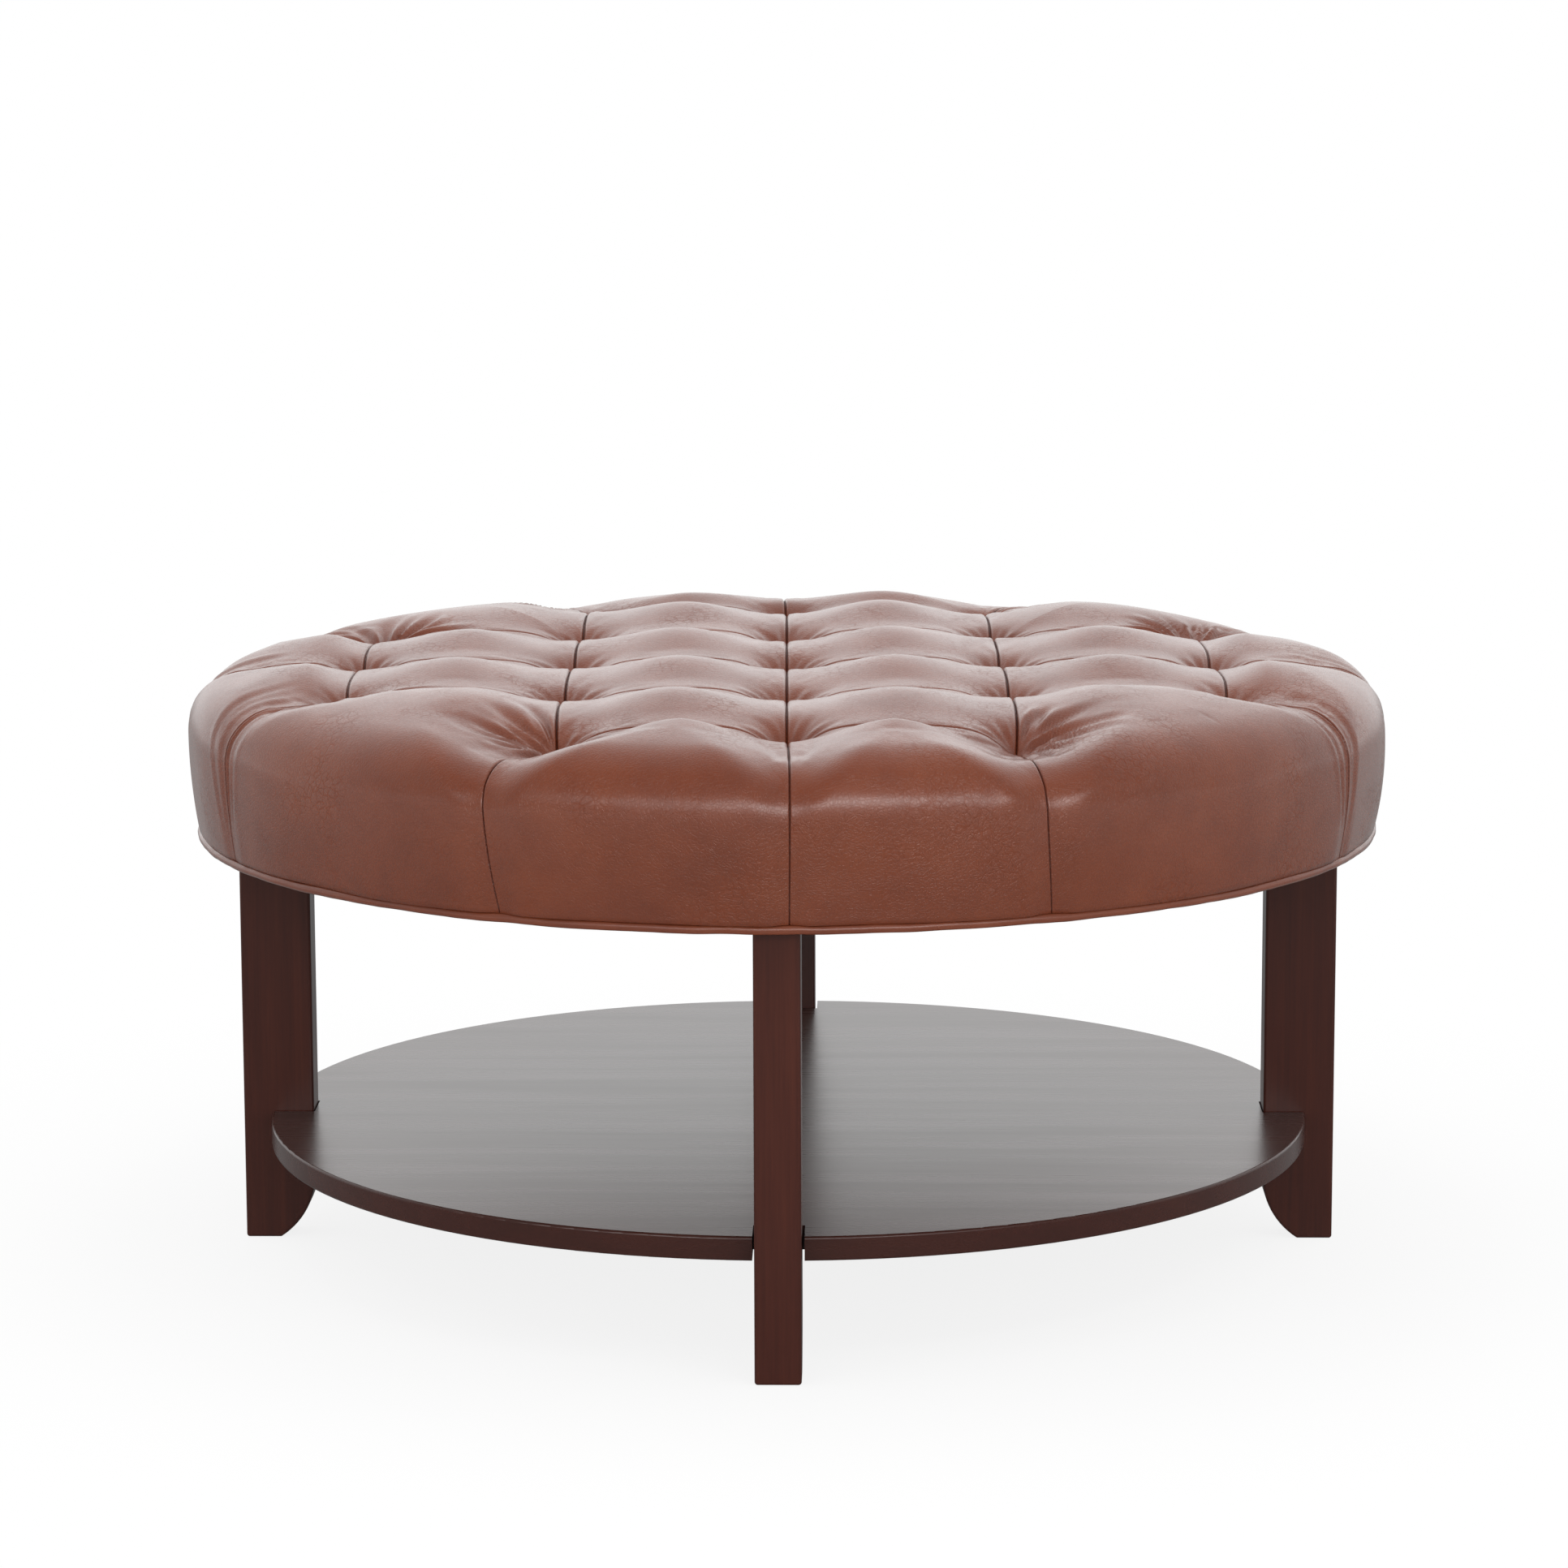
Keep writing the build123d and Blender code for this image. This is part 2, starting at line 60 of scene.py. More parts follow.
# Tufting
tuft_pitch = 0.1764
seat_turn = radians(1.0)
saddle_depth = 0.0145
tuft_depth = 0.0485
funnel_radius = 0.021
funnel_power = 1.2
shoulder_length = 0.440
least_reach = 0.030
unevenness = 0.0011
unevenness_size = 0.11
square_sink = 0.0012
rim_lean = 0.0045
twine_cover = 0.0015
seam_flat = 0.05
lip_share = 0.62
outer_path = [
    (-1, -2), (0, -2), (1, -2), (1, -1), (2, -1), (2, 0), (2, 1), (1, 1),
    (1, 2), (0, 2), (-1, 2), (-1, 1), (-2, 1), (-2, 0), (-2, -1), (-1, -1),
]
tuft_cells = [(i, j) for i in range(-2, 3) for j in range(-2, 3) if abs(i) + abs(j) < 4]
rim_tufts = [cell for cell in tuft_cells if max(abs(cell[0]), abs(cell[1])) == 2]

# Rim seams: how far each leans and bows sideways, how deep and wide they are along the section, and how much
# of that depth each has by its angle from the front
seam_sways = {(-1, -2): (0.004, -0.010), (0, -2): (0.002, 0.001), (1, -2): (-0.028, -0.0165)}
seam_spreads = {(0, -2): 0.90, (-1, -2): 1.15, (1, -2): 1.15}
seam_depth_at = (
    [0.353, 0.400, 0.441, 0.4735, 0.504, 0.5225, 0.560, 0.603],
    [0.0145, 0.0238, 0.0225, 0.0135, 0.0040, 0.0015, 0.0008, 0.0006],
)
seam_pull_at = (np.radians([11, 16, 39, 51, 110]), [0.72, 1.0, 1.0, 0.50, 0.45])
seam_width_at = ([0.420, 0.470, 0.510, 0.600], [0.095, 0.062, 0.030, 0.024])
cleft_depth_at = (
    [0.36, 0.41, 0.4735, 0.51, 0.56, 0.603],
    [0.0054, 0.0047, 0.0036, 0.0025, 0.0018, 0.0014],
)
closed_at_tuft = 0.0015
open_from_tuft = 0.0075

# Upright folds beside the side seams: distances from the seam, depths, stretch of the section, widths
fold_offsets = (-0.044, -0.031, -0.020, -0.010, 0.010, 0.021, 0.034)
fold_depths = (0.0008, 0.0020)
fold_start = 0.405
fold_end = 0.530
fold_fade = 0.06
fold_spread = 1.15
fold_gathering = 0.95
fold_foot_width = 0.0022
fold_widening = 0.0030

# Fans of folds at the tufts: least length and depth, and what full strength adds
fan_length = (0.026, 0.060)
fan_depth = (0.0006, 0.0050)
fan_fold_width = 0.0012
fan_fold_widening = 0.064

# Form under the leather: gap everywhere, and how far it drops at the seams and tufts
lining_gap = 0.0022
lining_edge_gap = 0.002
lining_seam_drop = 0.0070
lining_seam_reach = 0.007
lining_tuft_drop = 0.0045
lining_tuft_reach = 0.05

# How finely the seat is drawn
squares_per_pitch = 72
rows_to_edge = 84
under_share = 4
near_seams = 0.14
near_path = 0.2

# Swelling of the leather over its filling, by cloth simulation on a coarser grid
trial_squares = 32
trial_rows = 36
trial_near_seams = 0.55
trial_frames = 20
filling_pressure = 4.0
leather_spare = 0.001
most_swelling = 0.0055
side_tightness = 0.75
side_tightness_start = 0.44
side_tightness_reach = 0.06
held_width = 0.0045
swelling_reach = 0.03
room_to_swell = 0.0012

random = np.random.default_rng(11)
for rim_tuft in rim_tufts:
    if rim_tuft not in seam_sways:
        seam_sways[rim_tuft] = (random.uniform(-0.006, 0.006), random.uniform(-0.007, 0.007))

scene = bpy.context.scene


def smooth_step(t):
    """Rises from 0 to 1 as t does, level at both ends."""
    t = np.clip(t, 0, 1)
    return t * t * (3 - 2 * t)


def new_mesh(name, points, faces, smooth=True):
    """Mesh object from lists of points and faces, at the origin."""
    mesh = bpy.data.meshes.new(name)
    mesh.from_pydata([tuple(p[:3]) for p in points], [], [tuple(f) for f in faces])
    mesh.update()
    piece = bpy.data.objects.new(name, mesh)
    scene.collection.objects.link(piece)
    if smooth:
        mesh.shade_smooth()
    return piece


def tidy_mesh(piece):
    """Turns every face of a closed piece outwards."""
    work = bmesh.new()
    work.from_mesh(piece.data)
    bmesh.ops.recalc_face_normals(work, faces=work.faces)
    work.to_mesh(piece.data)
    work.free()
    piece.data.update()
    return piece


def bake_modifiers(piece):
    """Turns the piece with its modifiers into a plain mesh."""
    depsgraph = bpy.context.evaluated_depsgraph_get()
    made = bpy.data.meshes.new_from_object(piece.evaluated_get(depsgraph))
    piece.modifiers.clear()
    old = piece.data
    piece.data = made
    made.name = old.name
    bpy.data.meshes.remove(old)
    return piece


# Section of the seat, from its centre out and down to the edge above the welt

def seat_section():
    """Length along the half section, with the radius, height and outward normal there."""
    sine, cosine = sin(shoulder_turn), cos(shoulder_turn)
    base = seat_height - shoulder_radius * sine - crown_edge_radius * (1 - sine)
    centre = seat_radius - shoulder_radius
    step = crown_edge_radius - shoulder_radius
    crown_centre = centre - step * cosine
    fall = base - cover_edge
    side_radius = (fall**2 + side_draw**2) / (2 * side_draw)
    arcs = [
        (crown_centre, base - step * sine, crown_edge_radius, pi / 2, shoulder_turn, 60),
        (centre, base, shoulder_radius, shoulder_turn, 0, 90),
        (seat_radius - side_radius, base, side_radius, 0, -asin(fall / side_radius), 60),
    ]
    radii, heights, angles = [0.0], [seat_height], [pi / 2]
    for middle, level, radius, start, end, count in arcs:
        for angle in np.linspace(start, end, count):
            radii.append(middle + radius * cos(angle))
            heights.append(level + radius * sin(angle))
            angles.append(angle)
    radii, heights, angles = np.array(radii), np.array(heights), np.array(angles)
    lengths = np.concatenate([[0], np.cumsum(np.hypot(np.diff(radii), np.diff(heights)))])
    return lengths, radii, heights, angles


section_lengths, section_radii, section_heights, section_angles = seat_section()
edge_length = section_lengths[-1]


def on_section(length):
    """Radius, height and outward normal at a length along the half section."""
    radius = np.interp(length, section_lengths, section_radii)
    height = np.interp(length, section_lengths, section_heights)
    angle = np.interp(length, section_lengths, section_angles)
    return radius, height, np.cos(angle), np.sin(angle)


# Depth of the tufting below the section, over the seat laid out flat

def swell(share):
    """Rise of a pillow from its seam at 0 to its full height at 1."""
    return smooth_step((share - seam_flat) / (1 - seam_flat))


def crevice(seam, depth, width):
    """Narrow cleft between two round lips, deepest where they meet."""
    lip = np.clip(1 - seam / width, 0, 1)
    return depth * (1 - np.sqrt(1 - lip**2))


def distance_to_path(x, y):
    """Distance to the closed line of seams through the outer tufts."""
    nearest = np.full(x.shape, 1e9)
    for start, end in zip(outer_path, outer_path[1:] + outer_path[:1]):
        ax, ay = start[0] * tuft_pitch, start[1] * tuft_pitch
        bx, by = end[0] * tuft_pitch - ax, end[1] * tuft_pitch - ay
        along = np.clip(((x - ax) * bx + (y - ay) * by) / tuft_pitch**2, 0, 1)
        nearest = np.minimum(nearest, np.hypot(x - ax - along * bx, y - ay - along * by))
    return nearest


def sway(lean, bow, share):
    """How far a rim seam has wandered sideways at a share of its length."""
    return lean * share + bow * np.sin(pi * share)


def across_rim_seam(x, y, cell):
    """Distance sideways from the seam that runs out from an outer tuft, and the share of it passed."""
    start = hypot(*cell) * tuft_pitch
    length = np.hypot(x, y)
    share = np.clip((length - start) / (edge_length - start), 0, 1)
    turn = (np.arctan2(y, x) - atan2(cell[1], cell[0]) + pi) % tau - pi
    return length * turn - sway(*seam_sways[cell], share), share


def distance_to_rim_seams(x, y):
    """Distance to the nearest seam that runs out from an outer tuft, and the same within its valley."""
    nearest, in_valley = np.full(x.shape, 1e9), np.full(x.shape, 1e9)
    for cell in rim_tufts:
        across, _ = across_rim_seam(x, y, cell)
        before = np.maximum(hypot(*cell) * tuft_pitch - np.hypot(x, y), 0)
        nearest = np.minimum(nearest, np.hypot(across, before))
        in_valley = np.minimum(in_valley, np.hypot(across / seam_spreads.get(cell, 1.0), before))
    return nearest, in_valley


def long_folds():
    """Soft upright folds beside the seams at the left and right: which seam, how far from it, how deep."""
    folds = []
    for cell in rim_tufts:
        if abs(cell[0]) == 2:
            for offset in fold_offsets:
                placed = offset * random.uniform(0.85, 1.15)
                folds.append((cell, placed, random.uniform(*fold_depths)))
    return folds


side_folds = long_folds()


def side_fold_depth(x, y):
    """Depth of the upright folds, which draw together towards the foot of their seam."""
    length = np.hypot(x, y)
    depth = np.zeros(x.shape)
    window = smooth_step((length - fold_start) / fold_fade)
    window = window * (1 - smooth_step((length - fold_end) / fold_fade))
    for cell, offset, deep in side_folds:
        across, share = across_rim_seam(x, y, cell)
        middle = offset * (fold_spread - fold_gathering * share)
        across = np.abs(across - middle) / (fold_foot_width + fold_widening * (1 - share))
        shape = np.exp(-(across**2)) - 0.4 * np.exp(-((across - 2) ** 2))
        depth += deep * shape * window
    return depth


def seam_headings(cell):
    """Directions in which seams leave a tuft, in order."""
    i, j = cell
    sides = [(1, 0), (0, 1), (-1, 0), (0, -1)]
    headings = [atan2(dj, di) % tau for di, dj in sides if (i + di, j + dj) in tuft_cells]
    if cell in rim_tufts:
        headings.append(atan2(j, i) % tau)
    return sorted(headings)


def fan_strength(i, j, gap, middle):
    """How strong the folds are between two seams of a tuft, and the angle from one to the next."""
    if gap > radians(120):
        return 1.0, radians(17)
    if max(abs(i), abs(j)) == 2 and i * cos(middle) + j * sin(middle) > 0:
        return 0.05 + 0.22 * abs(i) * abs(cos(middle)) ** 3, radians(19)
    return 0.34, radians(24)


def pucker_lines():
    """Folds that fan out from the tufts: where, which way, how long, deep and bent."""
    lines = []
    for i, j in tuft_cells:
        headings = seam_headings((i, j))
        for start, end in zip(headings, headings[1:] + [headings[0] + tau]):
            gap = end - start
            strength, spacing = fan_strength(i, j, gap, (start + end) / 2)
            count = round(gap / spacing)
            for index in range(count):
                heading = start + gap * (index + 0.5 + random.uniform(-0.25, 0.25)) / count
                length = (fan_length[0] + fan_length[1] * strength) * random.uniform(0.75, 1.15)
                depth = (fan_depth[0] + fan_depth[1] * strength) * random.uniform(0.60, 1.10)
                bend = random.uniform(-0.30, 0.30)
                lines.append((i * tuft_pitch, j * tuft_pitch, heading, length, depth, bend))
    return lines


puckers = pucker_lines()


def pucker_depth(x, y, seam):
    """Depth of the fans of folds at the tufts."""
    depth = np.zeros(x.shape)
    for px, py, heading, length, deep, bend in puckers:
        away = np.hypot(x - px, y - py)
        near = (away < length * 1.2) & (away > 1e-6)
        if not near.any():
            continue
        d = away[near]
        turn = np.arctan2(y[near] - py, x[near] - px) - heading - bend * (d / length) ** 2
        turn = (turn + pi) % tau - pi
        across = np.abs(d * np.sin(turn)) / (fan_fold_width + fan_fold_widening * d)
        shape = np.exp(-(across**1.6)) - 0.45 * np.exp(-((across - 1.9) ** 2))
        fade = smooth_step((d - 0.004) / 0.012) * (1 - smooth_step((d / length - 0.25) / 0.80))
        depth[near] += np.where(np.cos(turn) > 0, deep * shape * fade, 0)
    return depth * smooth_step(seam / 0.008)


def soft_noise(x, y, z, size, count=24, seed=3):
    """Smooth unevenness between about -1 and 1 whose bumps are about the size apart."""
    chance = np.random.default_rng(seed)
    total = np.zeros(x.shape)
    for _ in range(count):
        direction = chance.normal(size=3)
        direction *= tau / size * chance.uniform(0.5, 1.1) / np.linalg.norm(direction)
        total += np.sin(x * direction[0] + y * direction[1] + z * direction[2] + chance.uniform(0, tau))
    return total / np.sqrt(count / 2) / 1.6


def rim_reach(x, y):
    """Half the room between the outer seams and the shoulder, in the direction of the point."""
    angle = np.arctan2(y, x)
    across, up = np.maximum(np.abs(np.cos(angle)), 1e-6), np.maximum(np.abs(np.sin(angle)), 1e-6)
    tall, wide = np.minimum(1 / across, 2 / up), np.minimum(2 / across, 1 / up)
    return np.maximum(0.5 * (shoulder_length - tuft_pitch * np.maximum(tall, wide)), least_reach)


def pull(x, y):
    """How hard the rim seams are drawn down: most beside the middle of the front."""
    return np.interp(np.abs(np.arctan2(x, -y)), *seam_pull_at)


def looseness(x, y):
    """How freely the leather swells: fully on top, less where it is stretched down the side."""
    down_side = smooth_step((np.hypot(x, y) - side_tightness_start) / side_tightness_reach)
    return 1 - side_tightness * down_side


def squares_depth(x, y):
    """Depth of the sewn squares on top, and distance to the nearest seam."""
    to_x = np.abs(x - np.round(x / tuft_pitch) * tuft_pitch)
    to_y = np.abs(y - np.round(y / tuft_pitch) * tuft_pitch)
    low_x = 1 - swell(to_x * 2 / tuft_pitch)
    low_y = 1 - swell(to_y * 2 / tuft_pitch)
    high = (1 - low_x) * (1 - low_y)
    return saddle_depth * (1 - high) + square_sink * high, np.minimum(to_x, to_y)


def rim_depth(x, y):
    """Depth of the leather outside the outer tufts, and distance to the nearest seam."""
    length = np.hypot(x, y)
    to_path = distance_to_path(x, y)
    to_seam, in_valley = distance_to_rim_seams(x, y)
    low_path = 1 - swell(to_path / rim_reach(x, y))
    low_seam = 1 - swell(in_valley / np.interp(length, *seam_width_at))
    valley = np.interp(length, *seam_depth_at) * pull(x, y)
    beside = low_seam * valley + (1 - low_seam) * rim_lean * y
    return saddle_depth * low_path + (1 - low_path) * beside, np.minimum(to_path, to_seam)


def tuft_funnel(x, y):
    """Distance to the nearest tuft, and the depth of its funnel there."""
    tuft_x = np.clip(np.round(x / tuft_pitch), -2, 2)
    tuft_y = np.clip(np.round(y / tuft_pitch), -2, 2)
    away = np.hypot(x - tuft_x * tuft_pitch, y - tuft_y * tuft_pitch)
    missing = np.abs(tuft_x) + np.abs(tuft_y) == 4
    crown = np.interp(np.hypot(tuft_x, tuft_y) * tuft_pitch, section_lengths, section_heights)
    deepest = np.where(missing, 0, crown - (seat_height - tuft_depth) - saddle_depth - twine_cover)
    return away, deepest * np.exp(-((away / funnel_radius) ** funnel_power))


def seat_depth(x, y, inside, under=False, folds=True):
    """Depth below the section of the leather or the form under it, and distance to the nearest seam."""
    depth, seam = squares_depth(x, y) if inside else rim_depth(x, y)
    away, funnel = tuft_funnel(x, y)
    depth += funnel
    depth += room_to_swell * looseness(x, y) * smooth_step((seam - held_width) / swelling_reach)
    if under:
        at_seam = np.exp(-((seam / lining_seam_reach) ** 2))
        at_tuft = np.exp(-((away / lining_tuft_reach) ** 2))
        return depth + lining_gap + lining_seam_drop * at_seam + lining_tuft_drop * at_tuft, seam
    cleft = np.interp(np.hypot(x, y), *cleft_depth_at)
    from_tuft = smooth_step((away - closed_at_tuft) / (open_from_tuft - closed_at_tuft))
    depth += crevice(seam, cleft, lip_share * cleft) * from_tuft
    if folds:
        depth += pucker_depth(x, y, seam)
    if folds and not inside:
        depth += side_fold_depth(x, y)
    return depth, seam


def place_on_seat(x, y, inside, under=False, inset=0.0, folds=True):
    """Points in space for points of the laid-out seat, each with its distance to the nearest seam."""
    length = np.hypot(x, y)
    radius, height, normal_r, normal_z = on_section(length)
    out = np.divide(1.0, length, out=np.zeros_like(length), where=length > 1e-9)
    px, py = x * out * radius, y * out * radius
    depth, seam = seat_depth(x, y, inside, under, folds)
    depth += inset - unevenness * soft_noise(px, py, height, unevenness_size)
    px -= depth * normal_r * x * out
    py -= depth * normal_r * y * out
    turned_x = px * cos(seat_turn) - py * sin(seat_turn)
    turned_y = px * sin(seat_turn) + py * cos(seat_turn)
    return np.stack([turned_x, turned_y, height - depth * normal_z, seam], axis=-1)


# Grids over the laid-out seat, whose lines run along its seams

def graded(count, first_share):
    """Steps from 0 to 1 that start close together and widen."""
    t = (np.arange(count) + 0.5) / count
    growth = first_share + (1 - first_share) * smooth_step(t * 2)
    return np.concatenate([[0], np.cumsum(growth) / growth.sum()])


def pitch_steps(count, first_share):
    """Steps from 0 to 1 that are close together at both ends."""
    half = graded(count // 2, first_share) / 2
    return np.concatenate([half, 1 - half[-2::-1]])


def seat_patches(per_pitch, rows, end, first_share=near_seams):
    """Grids of points of the laid-out seat: one for each square, and the ring around them."""
    steps = pitch_steps(per_pitch, first_share)
    patches = []
    for i in range(-2, 2):
        for j in range(-2, 2):
            corner_square = {i, j} <= {-2, 1}
            if not corner_square:
                x, y = np.meshgrid((i + steps) * tuft_pitch, (j + steps) * tuft_pitch)
                patches.append((x, y, True))
    columns = []
    for start, finish in zip(outer_path, outer_path[1:] + outer_path[:1]):
        start_angle = atan2(start[1], start[0])
        turn = (atan2(finish[1], finish[0]) - start_angle) % tau
        lean, bow = seam_sways.get(start, (0, 0))
        next_lean, next_bow = seam_sways.get(finish, (0, 0))
        for t in steps[:-1]:
            columns.append((
                (start[0] + (finish[0] - start[0]) * t) * tuft_pitch,
                (start[1] + (finish[1] - start[1]) * t) * tuft_pitch,
                start_angle + turn * t,
                lean + (next_lean - lean) * t,
                bow + (next_bow - bow) * t,
            ))
    start_x, start_y, angle, lean, bow = np.array(columns).T
    share = graded(rows, near_path)[:, None] * (end / edge_length)
    x = start_x + (edge_length * np.cos(angle) - start_x) * share
    y = start_y + (edge_length * np.sin(angle) - start_y) * share
    length = np.hypot(x, y)
    turn = np.arctan2(y, x) + sway(lean, bow, share) / length
    patches.append((length * np.cos(turn), length * np.sin(turn), False))
    return patches


def join_patches(patches, shapes):
    """Joins grids of points into one sheet: its points, its faces and each grid's point numbers."""
    flat = np.concatenate([np.stack([x, y], axis=-1).reshape(-1, 2) for x, y, _ in patches])
    solid = np.concatenate([shape.reshape(-1, 4) for shape in shapes])
    _, first, which = np.unique(np.round(flat, 6), axis=0, return_index=True, return_inverse=True)
    which = which.reshape(-1)
    faces, numbers, offset = [], [], 0
    for x, _, inside in patches:
        number = which[offset:offset + x.size].reshape(x.shape)
        numbers.append(number)
        offset += x.size
        after = np.roll(number, -1, axis=1)
        quads = np.stack([number[:-1], after[:-1], after[1:], number[1:]], axis=-1)
        quads = quads[:, :-1] if inside else quads[:, :, ::-1]
        faces.append(quads.reshape(-1, 4))
    return solid[first], np.concatenate(faces), numbers


def smooth_weights(knots, places):
    """Weights that carry values at the knots to the places along a smooth curve."""
    count, step = len(knots), np.diff(knots)
    system, right = np.eye(count), np.zeros((count, count))
    for k in range(1, count - 1):
        system[k, k - 1:k + 2] = step[k - 1], 2 * (step[k - 1] + step[k]), step[k]
        right[k, k - 1:k + 2] = 6 / step[k - 1], -6 / step[k - 1] - 6 / step[k], 6 / step[k]
    bend = np.linalg.solve(system, right)
    k = np.clip(np.searchsorted(knots, places) - 1, 0, count - 2)
    before = ((knots[k + 1] - places) / step[k])[:, None]
    after = 1 - before
    each = np.eye(count)
    curve = (before**3 - before) * bend[k] + (after**3 - after) * bend[k + 1]
    return before * each[k] + after * each[k + 1] + curve * (step[k] ** 2 / 6)[:, None]


def as_leather(piece):
    """Makes the piece a cloth that its filling presses from inside."""
    cloth = piece.modifiers.new("cloth", "CLOTH")
    cloth.point_cache.frame_start, cloth.point_cache.frame_end = 1, trial_frames
    leather = cloth.settings
    leather.quality = 5
    leather.mass = 0.3
    leather.tension_stiffness = leather.compression_stiffness = 25
    leather.shear_stiffness = 12
    leather.bending_stiffness = 1.5
    leather.tension_damping = leather.compression_damping = 12
    leather.air_damping = 4
    leather.use_pressure = True
    leather.uniform_pressure_force = filling_pressure
    leather.shrink_min = -leather_spare
    leather.vertex_group_mass = "held"
    leather.effector_weights.gravity = 0


def swell_leather():
    """Movement of the leather as its filling presses from inside, held at its seams, for each coarse grid."""
    patches = seat_patches(trial_squares, trial_rows, edge_length, trial_near_seams)
    points, faces, numbers = join_patches(patches, [place_on_seat(*patch, folds=False) for patch in patches])
    trial = new_mesh("leather_trial", points, faces)
    held = trial.vertex_groups.new(name="held")
    held.add(np.where(points[:, 3] < held_width)[0].tolist(), 1.0, "REPLACE")
    held.add(numbers[-1][-1].tolist(), 1.0, "REPLACE")
    as_leather(trial)
    for number in range(1, trial_frames + 1):
        scene.frame_set(number)
    shape = trial.evaluated_get(bpy.context.evaluated_depsgraph_get()).data
    moved = np.empty(len(points) * 3)
    shape.vertices.foreach_get("co", moved)
    moved = moved.reshape(-1, 3) - points[:, :3]
    distance = np.maximum(np.linalg.norm(moved, axis=1), 1e-9)[:, None]
    moved *= most_swelling * np.tanh(distance / most_swelling) / distance
    bpy.data.objects.remove(trial)
    scene.frame_set(1)
    return [moved[number] * looseness(x, y)[..., None] for number, (x, y, _) in zip(numbers, patches)]


def carry_swelling(per_pitch, rows):
    """The leather's swelling on grids of another fineness."""
    coarse, fine = pitch_steps(trial_squares, trial_near_seams), pitch_steps(per_pitch, near_seams)
    weights = smooth_weights(coarse, fine)
    carried = [np.einsum("ap,bq,pqk->abk", weights, weights, grid) for grid in swelling[:-1]]
    sides = len(outer_path)
    knots = np.concatenate([side + coarse[:-1] for side in range(-1, sides + 1)])
    places = np.concatenate([side + fine[:-1] for side in range(sides)])
    overlap = 6
    first = trial_squares - overlap
    around = smooth_weights(knots[first:-first], places)
    ring = np.concatenate([swelling[-1][:, -overlap:], swelling[-1], swelling[-1][:, :overlap]], axis=1)
    outward = smooth_weights(graded(trial_rows, near_path), graded(rows, near_path))
    carried.append(np.einsum("ap,bq,pqk->abk", outward, around, ring))
    return carried


def seat_sheet(per_pitch, rows, end=edge_length, **kind):
    """The seat's surface as one sheet: its points, its faces and its last ring."""
    patches = seat_patches(per_pitch, rows, end)
    shapes = [place_on_seat(*patch, **kind) for patch in patches]
    if swelling:
        for shape, movement in zip(shapes, carry_swelling(per_pitch, rows)):
            shape[..., :3] += movement
    points, faces, numbers = join_patches(patches, shapes)
    return points, list(faces), numbers[-1][-1]


def ring_faces(outer, inner):
    """Faces between two closed rings of points, of which the inner may have fewer."""
    step = len(outer) // len(inner)
    faces = []
    for k in range(len(inner)):
        edge = [outer[(k * step + m) % len(outer)] for m in range(step + 1)]
        faces.append((*edge, inner[(k + 1) % len(inner)], inner[k]))
    return faces


def add_ring(points, faces, ring, inward, drop):
    """Adds a ring that lies inward of and below the given one."""
    moved = points[ring].copy()
    moved[:, :2] *= 1 - inward / np.linalg.norm(moved[:, :2], axis=1)[:, None]
    moved[:, 2] -= drop
    added = np.arange(len(points), len(points) + len(ring))
    faces += ring_faces(list(ring), list(added))
    return np.concatenate([points, moved]), added


# Shader groups, each made once

def new_group(name, inputs, outputs):
    """Empty shader group with named inputs and outputs."""
    group = bpy.data.node_groups.new(name, "ShaderNodeTree")
    for label, kind, value in inputs:
        socket = group.interface.new_socket(label, in_out="INPUT", socket_type=kind)
        if value is not None:
            socket.default_value = value
    for label, kind in outputs:
        group.interface.new_socket(label, in_out="OUTPUT", socket_type=kind)
    nodes = group.nodes
    return group, nodes.new("NodeGroupInput"), nodes.new("NodeGroupOutput")


